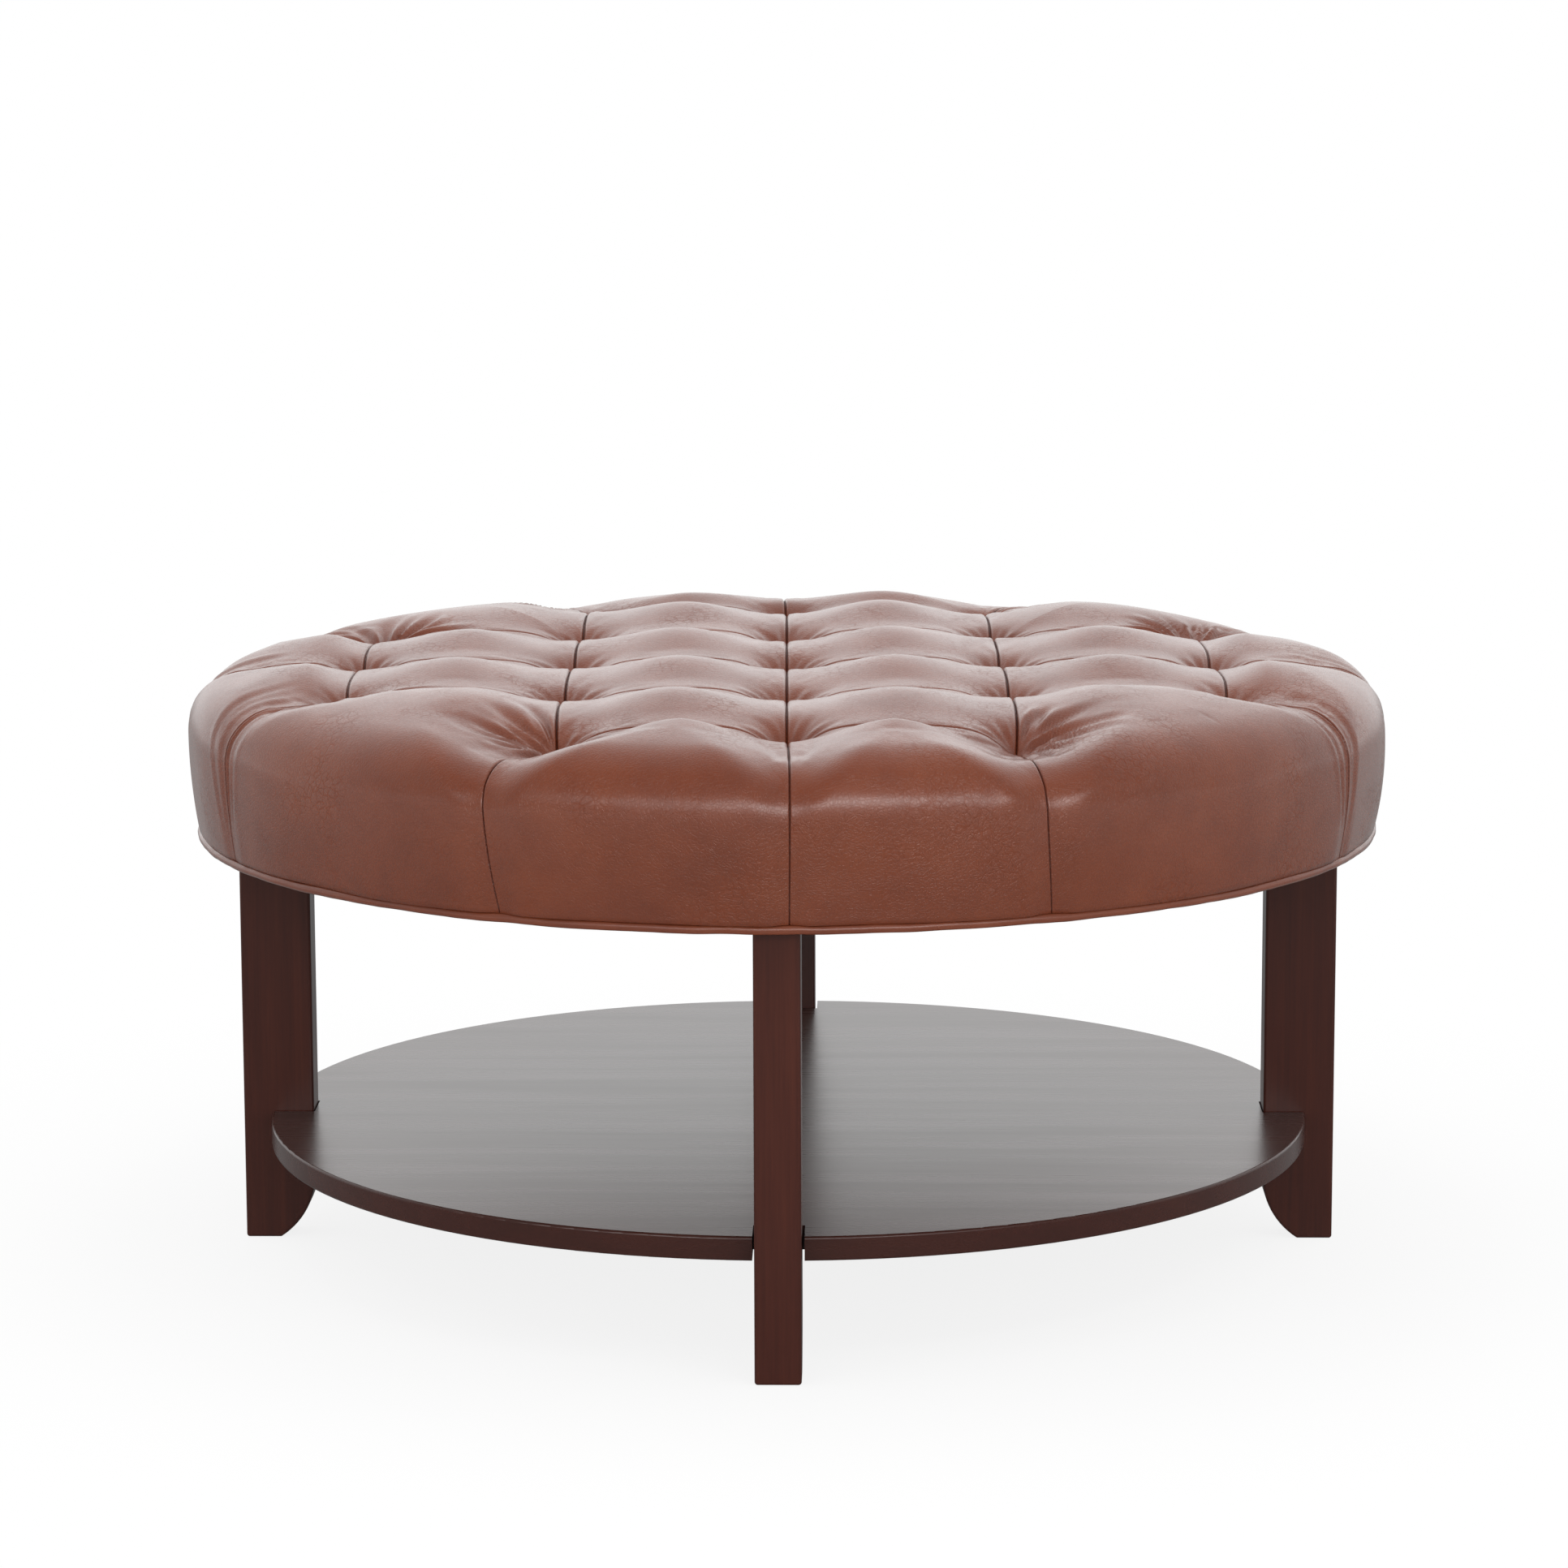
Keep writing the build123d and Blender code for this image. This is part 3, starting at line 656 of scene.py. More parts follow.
class Wiring:
    """Short ways to place and join nodes in one tree."""

    def __init__(self, tree):
        self.tree = tree

    def node(self, kind, settings=None, **sockets):
        made = self.tree.nodes.new(kind)
        for key, value in (settings or {}).items():
            setattr(made, key, value)
        for key, value in sockets.items():
            self.feed(made.inputs[key.replace("_", " ")], value)
        return made

    def feed(self, socket, value):
        if isinstance(value, bpy.types.NodeSocket):
            self.tree.links.new(value, socket)
        else:
            socket.default_value = value

    def math(self, operation, a, b=0.0, c=0.0):
        made = self.tree.nodes.new("ShaderNodeMath")
        made.operation = operation
        for socket, value in zip(made.inputs, (a, b, c)):
            self.feed(socket, value)
        return made.outputs[0]

    def spread(self, value, low, high, to_low=0.0, to_high=1.0):
        made = self.tree.nodes.new("ShaderNodeMapRange")
        made.clamp = True
        for socket, given in zip(made.inputs, (value, low, high, to_low, to_high)):
            self.feed(socket, given)
        return made.outputs[0]

    def mix_value(self, share, a, b):
        made = self.tree.nodes.new("ShaderNodeMix")
        self.feed(made.inputs[0], share)
        self.feed(made.inputs[2], a)
        self.feed(made.inputs[3], b)
        return made.outputs[0]

    def blend(self, share, a, b):
        made = self.tree.nodes.new("ShaderNodeMix")
        made.data_type = "RGBA"
        self.feed(made.inputs[0], share)
        self.feed(made.inputs[6], a)
        self.feed(made.inputs[7], b)
        return made.outputs[2]

    def noise(self, vector, scale, detail=2.0, roughness=0.5, distortion=0.0):
        made = self.node("ShaderNodeTexNoise", Vector=vector, Scale=scale, Detail=detail)
        made.inputs["Roughness"].default_value = roughness
        made.inputs["Distortion"].default_value = distortion
        return made.outputs["Fac"]

    def cell_edges(self, vector, scale):
        made = self.node("ShaderNodeTexVoronoi", {"feature": "DISTANCE_TO_EDGE"}, Vector=vector, Scale=scale)
        return made.outputs["Distance"]

    def scaled(self, vector, scale):
        made = self.node("ShaderNodeVectorMath", {"operation": "SCALE"}, Scale=scale)
        self.feed(made.inputs[0], vector)
        return made.outputs[0]

    def glow(self, strength):
        return self.node("ShaderNodeEmission", Color=(1, 1, 1, 1), Strength=strength).outputs[0]

    def mix_surfaces(self, share, a, b):
        made = self.tree.nodes.new("ShaderNodeMixShader")
        for socket, value in zip(made.inputs, (share, a, b)):
            self.feed(socket, value)
        return made.outputs[0]

    def stretched(self, vector, scale):
        made = self.node("ShaderNodeMapping", Vector=vector)
        made.inputs["Scale"].default_value = scale
        return made.outputs[0]


def colour(red, green, blue):
    """Linear colour from one that is written as it shows on a screen, 0 to 255."""
    def linear(value):
        value /= 255
        return value / 12.92 if value <= 0.04045 else ((value + 0.055) / 1.055) ** 2.4
    return (linear(red), linear(green), linear(blue), 1.0)


def leather_group():
    """Mottle, crease and pore values of a finished hide."""
    group, source, result = new_group(
        "hide_surface",
        [("Vector", "NodeSocketVector", None), ("Crease Scale", "NodeSocketFloat", 120.0)],
        [("Mottle", "NodeSocketFloat"), ("Crease", "NodeSocketFloat"), ("Height", "NodeSocketFloat")],
    )
    w = Wiring(group)
    place = source.outputs["Vector"]
    wander = w.node("ShaderNodeTexNoise", Vector=place, Scale=38.0, Detail=2.0)
    bent = w.node("ShaderNodeVectorMath", {"operation": "ADD"})
    w.feed(bent.inputs[0], place)
    w.feed(bent.inputs[1], w.scaled(wander.outputs["Color"], 0.012))
    broad = w.noise(place, 7.0, 3.0, 0.55)
    patch = w.noise(place, 28.0, 3.0, 0.6)
    mottle = w.math("ADD", w.math("MULTIPLY", broad, 0.6), w.math("MULTIPLY", patch, 0.4))
    crease_scale = source.outputs["Crease Scale"]
    edges = w.cell_edges(bent.outputs[0], crease_scale)
    fine_edges = w.cell_edges(bent.outputs[0], w.math("MULTIPLY", crease_scale, 2.7))
    where = w.spread(w.noise(place, 16.0, 3.0, 0.6), 0.44, 0.66)
    crease = w.math("MULTIPLY", w.spread(edges, 0.0, 0.16, 1.0, 0.0), where)
    fine = w.spread(fine_edges, 0.0, 0.16, 1.0, 0.0)
    pores = w.noise(place, 1500.0, 2.0, 0.6)
    height = w.math("SUBTRACT", w.math("MULTIPLY", pores, 0.18), w.math("MULTIPLY", fine, 0.30))
    height = w.math("SUBTRACT", height, w.math("MULTIPLY", crease, 0.50))
    w.feed(result.inputs["Mottle"], mottle)
    w.feed(result.inputs["Crease"], w.math("MAXIMUM", crease, w.math("MULTIPLY", fine, 0.35)))
    w.feed(result.inputs["Height"], height)
    return group


def grain_group():
    """Figure, pore and height values of straight-grained wood that runs along local X."""
    group, source, result = new_group(
        "wood_grain",
        [("Vector", "NodeSocketVector", None), ("Scale", "NodeSocketFloat", 1.0)],
        [("Figure", "NodeSocketFloat"), ("Pores", "NodeSocketFloat"), ("Height", "NodeSocketFloat")],
    )
    w = Wiring(group)
    sized = w.scaled(source.outputs["Vector"], source.outputs["Scale"])
    figure = w.noise(w.stretched(sized, (1.2, 22.0, 22.0)), 2.2, 4.0, 0.55, 0.6)
    streak = w.noise(w.stretched(sized, (4.0, 160.0, 160.0)), 3.0, 3.0, 0.6)
    speck = w.noise(w.stretched(sized, (30.0, 700.0, 700.0)), 1.6, 2.0, 0.7)
    pores = w.spread(speck, 0.56, 0.70)
    broad = w.math("MULTIPLY", figure, 0.65)
    w.feed(result.inputs["Figure"], w.math("ADD", broad, w.math("MULTIPLY", streak, 0.35)))
    w.feed(result.inputs["Pores"], pores)
    raised = w.math("MULTIPLY", streak, 0.5)
    w.feed(result.inputs["Height"], w.math("SUBTRACT", raised, w.math("MULTIPLY", pores, 0.5)))
    return group


hide_surface = leather_group()
wood_grain = grain_group()


def new_material(name):
    """Material with a plain surface shader, its wiring and its object coordinates."""
    material = bpy.data.materials.new(name)
    material.use_nodes = True
    w = Wiring(material.node_tree)
    shader = material.node_tree.nodes["Principled BSDF"]
    place = w.node("ShaderNodeTexCoord").outputs["Object"]
    return material, w, shader, place


def bump(w, shader, height, strength, distance):
    """Feeds a height to the surface's normal."""
    made = w.node("ShaderNodeBump", Height=height)
    made.inputs["Strength"].default_value = strength
    made.inputs["Distance"].default_value = distance
    w.feed(shader.inputs["Normal"], made.outputs["Normal"])


def leather_material(name, dark, mid, light, crease_scale, depth, seams=False):
    """Finished hide: mottled, finely creased, with a thin gloss coat, and where asked a painted shade that
    darkens it to deep brown, without its coat, down in its seams.
    """
    material, w, shader, place = new_material(name)
    hide = w.node("ShaderNodeGroup", {"node_tree": hide_surface}, Vector=place, Crease_Scale=crease_scale)
    tone = w.blend(w.spread(hide.outputs["Mottle"], 0.36, 0.50), dark, mid)
    tone = w.blend(w.spread(hide.outputs["Mottle"], 0.50, 0.66), tone, light)
    tone = w.blend(w.math("MULTIPLY", hide.outputs["Crease"], 0.30), tone, dark)
    smooth_leather = w.spread(hide.outputs["Crease"], 0.0, 1.0, 1.0, 0.30)
    if seams:
        # Painted shade: within about a millimetre of a seam the colour is blended to a deep brown and the
        # coat is taken off.
        from_seam = w.node("ShaderNodeAttribute", {"attribute_name": "from_seam"}).outputs["Fac"]
        outside_painted_seam_shade = w.spread(from_seam, 0.0002, 0.0011)
        tone = w.blend(outside_painted_seam_shade, colour(78, 32, 18), tone)
        w.feed(shader.inputs["Coat Weight"], w.math("MULTIPLY", outside_painted_seam_shade, smooth_leather))
    else:
        w.feed(shader.inputs["Coat Weight"], smooth_leather)
    w.feed(shader.inputs["Base Color"], tone)
    w.feed(shader.inputs["Roughness"], w.spread(hide.outputs["Mottle"], 0.3, 0.7, 0.36, 0.28))
    shader.inputs["IOR"].default_value = 1.5
    shader.inputs["Coat IOR"].default_value = 1.60
    shader.inputs["Coat Roughness"].default_value = 0.26
    bump(w, shader, hide.outputs["Height"], 0.55, depth)
    return material


def wood_material(name, dark, mid, light, along, scale, gloss, depth, varnish=0.0):
    """Wood whose grain runs along the axis given by the turn."""
    material, w, shader, place = new_material(name)
    turned = w.node("ShaderNodeMapping", Vector=place)
    turned.inputs["Rotation"].default_value = along
    grain = w.node("ShaderNodeGroup", {"node_tree": wood_grain}, Vector=turned.outputs[0], Scale=scale)
    tone = w.blend(w.spread(grain.outputs["Figure"], 0.35, 0.50), dark, mid)
    tone = w.blend(w.spread(grain.outputs["Figure"], 0.50, 0.68), tone, light)
    tone = w.blend(w.math("MULTIPLY", grain.outputs["Pores"], 0.35), tone, dark)
    w.feed(shader.inputs["Base Color"], tone)
    roughness = w.spread(grain.outputs["Figure"], 0.3, 0.7, gloss + 0.03, gloss - 0.03)
    w.feed(shader.inputs["Roughness"], roughness)
    shader.inputs["Coat Weight"].default_value = varnish
    shader.inputs["Coat Roughness"].default_value = gloss
    bump(w, shader, grain.outputs["Height"], 0.25, depth)
    return material


def plain_material(name, low, high, size, roughness, metallic=0.0, depth=0.0002, fibres=None):
    """Two tones of one finish with a fine grain, stretched into fibres where asked."""
    material, w, shader, place = new_material(name)
    vector = w.stretched(place, fibres) if fibres else place
    fine = w.noise(vector, size, 3.0, 0.6)
    broad = w.noise(place, size / 14, 2.0, 0.5)
    tone = w.math("ADD", w.math("MULTIPLY", fine, 0.6), w.math("MULTIPLY", broad, 0.4))
    w.feed(shader.inputs["Base Color"], w.blend(w.spread(tone, 0.35, 0.65), low, high))
    w.feed(shader.inputs["Roughness"], w.spread(tone, 0.3, 0.7, roughness + 0.06, roughness - 0.06))
    shader.inputs["Metallic"].default_value = metallic
    bump(w, shader, fine, 0.5, depth)
    return material


def dress(piece, material):
    """Gives the piece one material."""
    piece.data.materials.clear()
    piece.data.materials.append(material)


upright_grain = (0, radians(90), 0)
level_grain = (0, 0, 0)
seat_leather = leather_material(
    "cognac_leather", colour(107, 47, 21), colour(113, 51, 24), colour(119, 56, 28), 140.0, 0.0011, seams=True
)
welt_leather = leather_material(
    "cognac_welt_leather", colour(108, 50, 28), colour(116, 56, 32), colour(126, 64, 38), 260.0, 0.00030
)
leg_wood = wood_material(
    "espresso_leg_wood", colour(58, 23, 15), colour(68, 29, 19), colour(78, 36, 24),
    upright_grain, scale=1.0, gloss=0.34, depth=0.0001,
)
shelf_wood = wood_material(
    "espresso_shelf_wood", colour(56, 26, 19), colour(60, 28, 21), colour(64, 31, 23),
    level_grain, scale=0.8, gloss=0.28, depth=0.00002, varnish=0.42,
)
plywood = wood_material(
    "birch_plywood", colour(176, 138, 94), colour(198, 162, 116), colour(214, 182, 138),
    level_grain, scale=0.7, gloss=0.62, depth=0.0003,
)
rail_wood = wood_material(
    "rail_pine", colour(186, 146, 96), colour(206, 170, 120), colour(220, 190, 146),
    level_grain, scale=1.1, gloss=0.60, depth=0.0003,
)
foam_material = plain_material(
    "seat_foam", colour(222, 208, 160), colour(238, 228, 188), size=420.0, roughness=0.90, depth=0.0010
)
wadding_material = plain_material(
    "white_wadding", colour(222, 222, 218), colour(242, 242, 238), size=160.0, roughness=0.95, depth=0.0020
)
twine_material = plain_material(
    "waxed_twine", colour(196, 184, 158), colour(222, 212, 190), size=900.0, roughness=0.6,
    depth=0.0003, fibres=(1, 1, 0.25),
)
washer_material = plain_material(
    "fibre_washer", colour(40, 38, 36), colour(58, 55, 52), size=700.0, roughness=0.7
)
zinc = plain_material(
    "zinc_plate", colour(150, 150, 146), colour(186, 186, 182), size=900.0, roughness=0.34,
    metallic=1.0, depth=0.00005,
)
black_steel = plain_material(
    "black_painted_steel", colour(26, 26, 27), colour(36, 36, 38), size=1200.0, roughness=0.45, depth=0.00008
)
dust_cloth = plain_material(
    "black_dust_cloth", colour(22, 22, 24), colour(40, 40, 43), size=650.0, roughness=0.92, depth=0.0004
)


# Geometry trees: named sizes in, one finished mesh out

def new_tree(name, sizes):
    """Empty geometry tree with named sizes and a material as its inputs."""
    tree = bpy.data.node_groups.new(name, "GeometryNodeTree")
    tree.is_modifier = True
    tree.interface.new_socket("Geometry", in_out="INPUT", socket_type="NodeSocketGeometry")
    for label, value in sizes.items():
        kind = "NodeSocketInt" if isinstance(value, int) else "NodeSocketFloat"
        tree.interface.new_socket(label, in_out="INPUT", socket_type=kind).default_value = value
    tree.interface.new_socket("Material", in_out="INPUT", socket_type="NodeSocketMaterial")
    tree.interface.new_socket("Geometry", in_out="OUTPUT", socket_type="NodeSocketGeometry")
    return tree, Wiring(tree), tree.nodes.new("NodeGroupInput").outputs


def finish_tree(w, geometry, material):
    """Ends a tree with real geometry in its material."""
    real = w.node("GeometryNodeRealizeInstances", Geometry=geometry)
    dressed = w.node("GeometryNodeSetMaterial", Geometry=real.outputs[0], Material=material)
    w.feed(w.node("NodeGroupOutput").inputs[0], dressed.outputs[0])


def grow(name, tree, material, sizes):
    """Plain mesh made by a geometry tree with the given sizes."""
    piece = new_mesh(name, [], [])
    modifier = piece.modifiers.new("grow", "NODES")
    modifier.node_group = tree
    sockets = {item.name: item.identifier for item in tree.interface.items_tree if item.in_out == "INPUT"}
    modifier[sockets["Material"]] = material
    for label, value in sizes.items():
        modifier[sockets[label]] = value
    tidy_mesh(bake_modifiers(piece))
    piece.data.polygons.foreach_set("material_index", np.zeros(len(piece.data.polygons), dtype=np.int32))
    dress(piece, material)
    return piece


def cord_tree():
    """Round cord that runs round a level ring, a little wavy as sewn leather is."""
    tree, w, given = new_tree("cord_on_ring", {
        "Steps": 900, "Sides": 20, "Ring Radius": 0.49, "Level": 0.35, "Cord Radius": 0.0036,
        "Waviness": 0.0006, "Wave Length": 0.05, "Thickness Change": 0.05, "Seed": 3.0,
    })
    path = w.node("GeometryNodeCurvePrimitiveCircle", {"mode": "RADIUS"}, Resolution=given["Steps"])
    w.feed(path.inputs["Radius"], given["Ring Radius"])
    waves = w.node("ShaderNodeTexNoise", {"noise_dimensions": "4D"}, W=given["Seed"], Detail=2.0)
    w.feed(waves.inputs["Vector"], w.node("GeometryNodeInputPosition").outputs[0])
    w.feed(waves.inputs["Scale"], w.math("DIVIDE", 1.0, given["Wave Length"]))
    centred = w.node("ShaderNodeVectorMath", {"operation": "SUBTRACT"})
    w.feed(centred.inputs[0], waves.outputs["Color"])
    centred.inputs[1].default_value = (0.5, 0.5, 0.5)
    offset = w.scaled(centred.outputs[0], w.math("MULTIPLY", given["Waviness"], 5.0))
    wavy = w.node("GeometryNodeSetPosition", Geometry=path.outputs[0], Offset=offset)
    change = w.math("MULTIPLY", given["Thickness Change"], 5.0)
    thick = w.math("MULTIPLY_ADD", w.math("SUBTRACT", waves.outputs["Fac"], 0.5), change, 1.0)
    sized = w.node("GeometryNodeSetCurveRadius", Curve=wavy.outputs[0], Radius=thick)
    section = w.node("GeometryNodeCurvePrimitiveCircle", {"mode": "RADIUS"}, Resolution=given["Sides"])
    w.feed(section.inputs["Radius"], given["Cord Radius"])
    cord = w.node("GeometryNodeCurveToMesh", Curve=sized.outputs[0], Profile_Curve=section.outputs[0])
    level = w.node("ShaderNodeCombineXYZ", Z=given["Level"])
    raised = w.node("GeometryNodeTransform", Geometry=cord.outputs[0], Translation=level.outputs[0])
    finish_tree(w, raised.outputs[0], given["Material"])
    return tree


staple_count = 36


def staple_tree():
    """Wire staples spaced round a level ring, crowns below and both legs up, with rounded corners."""
    tree, w, given = new_tree("staples_on_ring", {
        "Count": staple_count, "Ring Radius": 0.467, "First Turn": 0.0, "Level": 0.35,
        "Crown": 0.011, "Leg": 0.010, "Wire": 0.001, "Corner": 0.0011,
    })
    line = w.node("GeometryNodeMeshLine", Count=4)
    from_middle = w.math("SUBTRACT", w.node("GeometryNodeInputIndex").outputs[0], 1.5)
    half = w.math("MULTIPLY", w.math("SUBTRACT", given["Crown"], given["Wire"]), 0.5)
    below = w.math("MULTIPLY", given["Wire"], -0.5)
    at_end = w.math("GREATER_THAN", w.math("ABSOLUTE", from_middle), 1.0)
    corner = w.node("ShaderNodeCombineXYZ", Y=w.math("MULTIPLY", w.math("SIGN", from_middle), half))
    w.feed(corner.inputs["Z"], w.mix_value(at_end, below, given["Leg"]))
    bent = w.node("GeometryNodeSetPosition", Geometry=line.outputs[0], Position=corner.outputs[0])
    path = w.node("GeometryNodeMeshToCurve", Mesh=bent.outputs[0])
    rounded = w.node("GeometryNodeFilletCurve", {"mode": "POLY"}, Curve=path.outputs[0], Count=4)
    w.feed(rounded.inputs["Radius"], given["Corner"])
    section = w.node("GeometryNodeCurvePrimitiveQuadrilateral", Width=given["Wire"], Height=given["Wire"])
    wire = w.node("GeometryNodeCurveToMesh", Curve=rounded.outputs[0], Profile_Curve=section.outputs[0])
    wire.inputs["Fill Caps"].default_value = True
    ring = w.node("GeometryNodeMeshCircle", Vertices=given["Count"], Radius=given["Ring Radius"])
    step = w.math("DIVIDE", tau, given["Count"])
    number = w.node("GeometryNodeInputIndex").outputs[0]
    turn = w.node("ShaderNodeCombineXYZ", Z=w.math("MULTIPLY", number, step))
    staples = w.node("GeometryNodeInstanceOnPoints", Points=ring.outputs[0], Instance=wire.outputs[0])
    w.feed(staples.inputs["Rotation"], turn.outputs[0])
    whole = w.node("GeometryNodeTransform", Geometry=staples.outputs[0])
    w.feed(whole.inputs["Rotation"], w.node("ShaderNodeCombineXYZ", Z=given["First Turn"]).outputs[0])
    w.feed(whole.inputs["Translation"], w.node("ShaderNodeCombineXYZ", Z=given["Level"]).outputs[0])
    finish_tree(w, whole.outputs[0], given["Material"])
    return tree


# Seat cover

swelling = swell_leather()


def make_seat_cover():
    """Tufted leather shell with its edge turned in above the welt."""
    points, faces, ring = seat_sheet(squares_per_pitch, rows_to_edge)
    for inward, drop in ((leather_thickness, 0.0004), (turn_in, 0.0), (0.0, -leather_thickness)):
        points, ring = add_ring(points, faces, ring, inward, drop)
    fewer, rows = squares_per_pitch // under_share, rows_to_edge // under_share
    lining, lining_faces, lining_ring = seat_sheet(fewer, rows, edge_length - lining_edge_gap, under=True)
    faces += [face[::-1] + len(points) for face in lining_faces]
    faces += ring_faces(list(ring), list(lining_ring + len(points)))
    points = np.concatenate([points, lining])
    cover = tidy_mesh(new_mesh("tufted_seat_cover", points, faces))
    # Each point's distance to the nearest seam, which the leather material reads to paint shade into the
    # seams.
    from_seam = cover.data.attributes.new("from_seam", "FLOAT", "POINT")
    from_seam.data.foreach_set("value", points[:, 3].astype(np.float32))
    dress(cover, seat_leather)
    return cover


seat_cover = make_seat_cover()
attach(seat_cover, "root")
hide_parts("seat_cover")


# Foam and wadding under the leather

foam_squares = 18
foam_rows = 24
foam_gap = 0.001
wadding_gap = 0.0075


def make_foam():
    """Foam block that follows the tufting, flat where it lies on the deck."""
    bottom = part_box("seat_foam")[0].z
    points, faces, ring = seat_sheet(foam_squares, foam_rows, under=True, inset=foam_gap)
    points[:, 2] = np.maximum(points[:, 2], bottom)
    for share in (0.6, 0.3):
        inward = float(np.linalg.norm(points[ring[0], :2])) * (1 - share)
        points, ring = add_ring(points, faces, ring, inward, 0.0)
    faces.append(tuple(ring[::-1]))
    foam = tidy_mesh(new_mesh("foam_block", points, faces))
    dress(foam, foam_material)
    return foam


seat_foam = make_foam()
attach(seat_foam, "root")
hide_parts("seat_foam")


def turned_section(name, outline, count):
    """Closed ring whose section is the outline of (radius, height) pairs."""
    angles = np.linspace(0, tau, count, endpoint=False)
    points, faces = [], []
    for index, angle in enumerate(angles):
        for radius, height in outline(angle):
            points.append((radius * cos(angle), radius * sin(angle), height))
    size = len(points) // count
    for index in range(count):
        following = (index + 1) % count
        for k in range(size):
            after = (k + 1) % size
            a, b = index * size + k, index * size + after
            c, d = following * size + after, following * size + k
            faces.append((a, b, c, d))
    return tidy_mesh(new_mesh(name, points, faces))


def make_wadding():
    """Fibre band between the hoop and the leather."""
    low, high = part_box("side_wadding")
    hoop_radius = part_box("frame_hoop")[1].x
    heights = np.linspace(low.z + 0.0005, high.z - 0.0005, 9)
    lengths = np.interp(heights, section_heights[::-1], section_lengths[::-1])
    radii = on_section(lengths)[0] - wadding_gap

    def outline(angle):
        soft = 0.0006 * sin(9 * angle + 1) + 0.0005 * sin(23 * angle)
        outer = [(radius + soft, height) for radius, height in zip(radii, heights)]
        inner = [(hoop_radius + 0.0006, height) for height in (heights[-1], heights[0])]
        return outer + inner

    return turned_section("wadding_band", outline, count=240)


wadding = make_wadding()
dress(wadding, wadding_material)
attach(wadding, "root")
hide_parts("side_wadding")


# Welt

welt_radius = 0.00365
tape_width = 0.021
tape_half_thickness = 0.0006


def make_welt():
    """Leather-covered cord, with the tape it is stapled by under the hoop."""
    low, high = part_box("welt")
    ring, level = high.x - welt_radius, low.z + welt_radius
    cord = grow("welt_cord", cord_tree(), welt_leather, {
        "Ring Radius": ring, "Level": level, "Cord Radius": welt_radius,
        "Waviness": 0.0006, "Wave Length": 0.055, "Thickness Change": 0.05,
    })

    def tape_outline(angle):
        inner, outer = ring - tape_width, ring - welt_radius * 0.6
        bottom, top = level - tape_half_thickness, level + tape_half_thickness
        return [(inner, bottom), (outer, bottom), (outer, top), (inner, top)]

    tape = turned_section("welt_tape", tape_outline, count=300)
    work = bmesh.new()
    work.from_mesh(cord.data)
    work.from_mesh(tape.data)
    work.to_mesh(cord.data)
    work.free()
    bpy.data.objects.remove(tape)
    cord.data.shade_smooth()
    return cord


welt = make_welt()
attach(welt, "root")
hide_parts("welt")


# Staples that hold the welt's tape and the dust cover

staple_inset = 0.0065
staple_wire = 0.001
staples = staple_tree()
staple_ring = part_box("frame_hoop")[1].x - staple_inset
for node, first_turn in (("welt_staples", 0.0), ("dust_staples", radians(5))):
    wires = grow(node.replace("staples", "staple_wires"), staples, zinc, {
        "Ring Radius": staple_ring, "First Turn": first_turn,
        "Level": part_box(node)[0].z + staple_wire, "Wire": staple_wire,
    })
    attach(wires, "root")
    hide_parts(node)


# Dust cover

rim_steps = 240
slot_gap = 0.0015
slot_room = 0.004
rim_room = 0.007
dust_spacing = 0.013
dust_sag = 0.0022
dust_gather = 0.0006
dust_thickness = 0.0005


def leg_slots():
    """Lowest and highest X and Y of the slots round the four legs."""
    slots = []
    for side in ("right", "back", "left", "front"):
        low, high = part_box(f"leg_{side}")
        slots.append((low.x - slot_gap, low.y - slot_gap, high.x + slot_gap, high.y + slot_gap))
    return slots


def slot_points(slot):
    """Points round one slot, close together at its corners."""
    x0, y0, x1, y1 = slot
    corners = [(x0, y0), (x1, y0), (x1, y1), (x0, y1)]
    points = []
    for start, end in zip(corners, corners[1:] + corners[:1]):
        for t in (*np.linspace(0, 1, 7)[:-1], 0.98):
            points.append(Vector([a + (b - a) * t for a, b in zip(start, end)]))
    return points


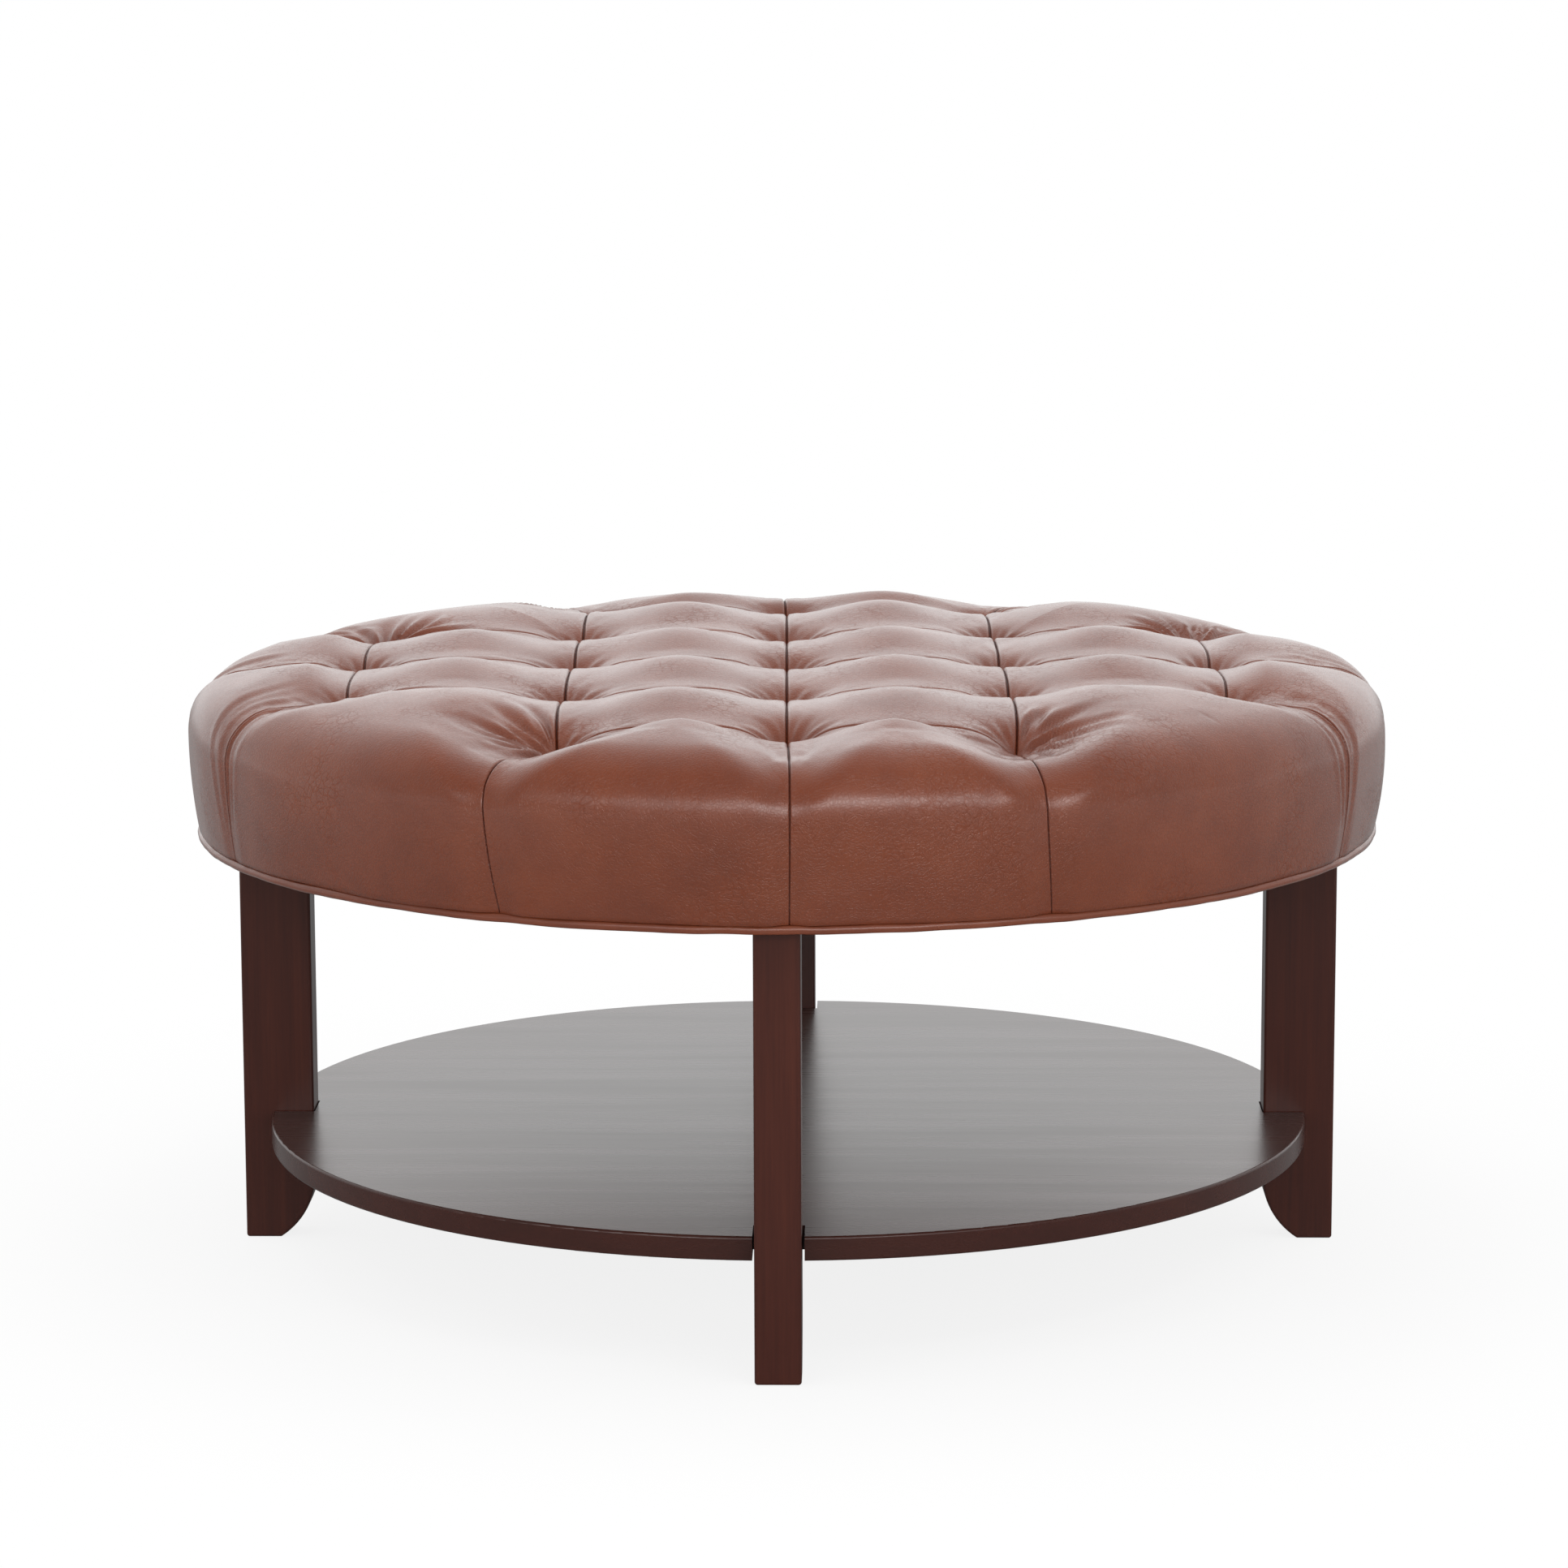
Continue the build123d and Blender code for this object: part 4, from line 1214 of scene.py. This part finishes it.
def make_dust_cover():
    """Thin cloth disc, cut out round the legs, that sags a little between its staples."""
    low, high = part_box("dust_cover")
    radius = high.x
    slots = leg_slots()

    def in_slot(x, y, room=0.0):
        return any(x0 - room < x < x1 + room and y0 - room < y < y1 + room for x0, y0, x1, y1 in slots)

    rim_angles = np.linspace(0, tau, rim_steps, endpoint=False)
    points = [Vector((radius * cos(angle), radius * sin(angle))) for angle in rim_angles]
    for slot in slots:
        points += slot_points(slot)
    for x in np.arange(-radius, radius, dust_spacing):
        for y in np.arange(-radius, radius, dust_spacing):
            if hypot(x, y) < radius - rim_room and not in_slot(x, y, slot_room):
                points.append(Vector((x + dust_spacing * 0.2 * sin(40 * y), y)))
    flat, _, triangles, _, _, _ = delaunay_2d_cdt(points, [], [], 0, 1e-6)

    def in_cloth(face):
        return not in_slot(sum(flat[k].x for k in face) / len(face), sum(flat[k].y for k in face) / len(face))

    x = np.array([p.x for p in flat])
    y = np.array([p.y for p in flat])
    r, angle = np.hypot(x, y), np.arctan2(y, x)
    free = smooth_step((radius - 0.012 - r) / 0.10)
    sag = dust_sag * free * (0.7 + 0.3 * soft_noise(x, y, 0 * x, 0.16, seed=5))
    gather = dust_gather * np.cos(staple_count * angle) * np.exp(-((radius - r) / 0.03))
    z = (low.z + high.z) / 2 - sag + gather * smooth_step((radius - r) / 0.004)
    faces = [face for face in triangles if in_cloth(face)]
    cover = tidy_mesh(new_mesh("dust_cover_cloth", np.stack([x, y, z], axis=-1), faces))
    shell = cover.modifiers.new("thickness", "SOLIDIFY")
    shell.thickness = dust_thickness
    shell.offset = 0.0
    bake_modifiers(cover)
    cover.data.shade_smooth()
    dress(cover, dust_cloth)
    area = pi * radius**2 - sum((x1 - x0) * (y1 - y0) for x0, y0, x1, y1 in slots)
    return cover, radius, area


dust_cover, dust_radius, dust_area = make_dust_cover()
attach(dust_cover, "root")
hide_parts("dust_cover")


# Finishes of the pieces that stay as they are

finishes = {
    "leg_": leg_wood,
    "shelf": shelf_wood,
    "shelf_bracket_": black_steel,
    "seat_deck": plywood,
    "frame_hoop": plywood,
    "rail_": rail_wood,
    "leg_block_": rail_wood,
    "tuft_twines": twine_material,
    "tuft_washers": washer_material,
    "leg_bolts": zinc,
    "bolt_washers": zinc,
    "leg_inserts": zinc,
    "deck_screws": zinc,
    "block_screws": zinc,
    "bracket_screws": zinc,
}
for name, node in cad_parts.items():
    matching = [key for key in finishes if name.startswith(key)]
    if matching:
        dress(node, finishes[max(matching, key=len)])


# Floor, light and camera

floor_reach = 14.0
floor_dim = 0.12


def make_floor():
    """Pale floor, white to the camera further off, that keeps a faint shadow near the object; reflections see
    it as a painted glow, dim in front and brighter behind, beside and far off.
    """
    corners = [(x * floor_reach, y * floor_reach, 0) for x, y in ((-1, -1), (1, -1), (1, 1), (-1, 1))]
    floor = new_mesh("floor", corners, [(0, 1, 2, 3)], smooth=False)
    material, w, shader, place = new_material("studio_floor")
    shader.inputs["Base Color"].default_value = (0.9, 0.9, 0.9, 1)
    shader.inputs["Roughness"].default_value = 0.9
    shader.inputs["Specular IOR Level"].default_value = 0.0
    away = w.node("ShaderNodeVectorMath", {"operation": "LENGTH"})
    w.feed(away.inputs[0], place)
    away = away.outputs["Value"]
    light_path = w.node("ShaderNodeLightPath")
    white = w.math("MULTIPLY", light_path.outputs["Is Camera Ray"], w.spread(away, 0.58, 1.10, 0.85, 1.0))
    seen = w.mix_surfaces(white, shader.outputs[0], w.glow(1.0))
    # Painted reflection: to glossy rays the floor is a glow whose strength is set by place, not its lit
    # shading.
    spot = w.node("ShaderNodeSeparateXYZ", Vector=place).outputs
    back = w.spread(spot["Y"], -0.6, 1.4, floor_dim, 0.38)
    beside = w.spread(w.math("ABSOLUTE", spot["X"]), 0.7, 2.2, floor_dim, 0.36)
    far = w.spread(away, 3.0, 9.0, floor_dim, 0.9)
    mirrored = w.glow(w.math("MAXIMUM", far, w.math("MAXIMUM", back, beside)))
    surface = w.mix_surfaces(light_path.outputs["Is Glossy Ray"], seen, mirrored)
    w.feed(material.node_tree.nodes["Material Output"].inputs["Surface"], surface)
    dress(floor, material)


def area_light(name, place, aim, size, power):
    """Soft rectangular lamp at the place, turned to the aim and left out of reflections."""
    data = bpy.data.lights.new(name, "AREA")
    data.shape = "RECTANGLE"
    data.size, data.size_y = size
    data.energy = power
    lamp = bpy.data.objects.new(name, data)
    lamp.location = place
    lamp.visible_glossy = False
    lamp.rotation_euler = (Vector(aim) - Vector(place)).to_track_quat("-Z", "Y").to_euler()
    scene.collection.objects.link(lamp)


world_dim = 0.14
strip_level = 0.27


def make_world():
    """White studio. Reflections see it bright behind the object, and dim in front but for one strip."""
    world = bpy.data.worlds.new("studio")
    world.use_nodes = True
    w = Wiring(world.node_tree)
    background = world.node_tree.nodes["Background"]
    background.inputs["Color"].default_value = (1, 1, 1, 1)
    direction = w.node("ShaderNodeSeparateXYZ", Vector=w.node("ShaderNodeTexCoord").outputs["Generated"])
    behind = w.spread(direction.outputs["Z"], 0.55, 0.95, 1.12, 0.50)
    sideways = w.math("ABSOLUTE", direction.outputs["X"])
    behind = w.math("MULTIPLY", behind, w.spread(sideways, 0.30, 0.85, 1.0, 0.50))
    from_strip = w.math("ABSOLUTE", w.math("SUBTRACT", direction.outputs["Z"], strip_level))
    strip = w.spread(from_strip, 0.02, 0.14, 3.5, world_dim)
    strip = w.math("MULTIPLY", strip, w.spread(sideways, 0.30, 0.80, 1.0, 0.04))
    strip = w.math("MULTIPLY", strip, w.spread(direction.outputs["X"], -0.35, 0.45, 0.75, 1.9))
    ahead = w.math("MAXIMUM", strip, world_dim)
    mirrored = w.mix_value(w.spread(direction.outputs["Y"], -0.30, 0.40), ahead, behind)
    around = w.spread(sideways, 0.35, 0.95, 0.55, 1.45)
    light_path = w.node("ShaderNodeLightPath")
    strength = w.mix_value(light_path.outputs["Is Glossy Ray"], around, mirrored)
    w.feed(background.inputs["Strength"], w.mix_value(light_path.outputs["Is Camera Ray"], strength, 1.0))
    scene.world = world


camera_distance = 4.0
camera_height = 1.0433
camera_pitch = radians(9.378)
camera_turn = radians(1.028)
camera_roll = radians(-0.187)
camera_yaw = radians(0.037)
camera_lens = 112.2


def make_camera():
    """Camera at the photograph's place and angle."""
    data = bpy.data.cameras.new("camera")
    data.sensor_width = 36.0
    data.lens = camera_lens
    camera = bpy.data.objects.new("camera", data)
    around = Matrix.Rotation(camera_turn, 4, "Z")
    place = Matrix.Translation((0, -camera_distance, camera_height))
    look = Matrix.Rotation(camera_yaw, 4, "Z") @ Matrix.Rotation(pi / 2 - camera_pitch, 4, "X")
    camera.matrix_world = around @ place @ look @ Matrix.Rotation(camera_roll, 4, "Z")
    data.clip_start, data.clip_end = 0.05, 60
    scene.collection.objects.link(camera)
    scene.camera = camera


make_floor()
make_world()
area_light("front_softbox", (0.1, -3.4, 1.20), (0, 0, 0.42), (4.2, 0.7), 30)
area_light("top_softbox", (-0.1, 0.2, 3.0), (0, 0, 0.45), (2.4, 2.4), 30)
area_light("right_strip", (1.7, -2.3, 2.8), (0.15, -0.45, 0.45), (1.7, 0.35), 11)
area_light("left_strip", (-1.7, -2.3, 2.8), (-0.15, -0.45, 0.45), (1.2, 0.30), 4)
make_camera()
scene.view_settings.view_transform = "Standard"
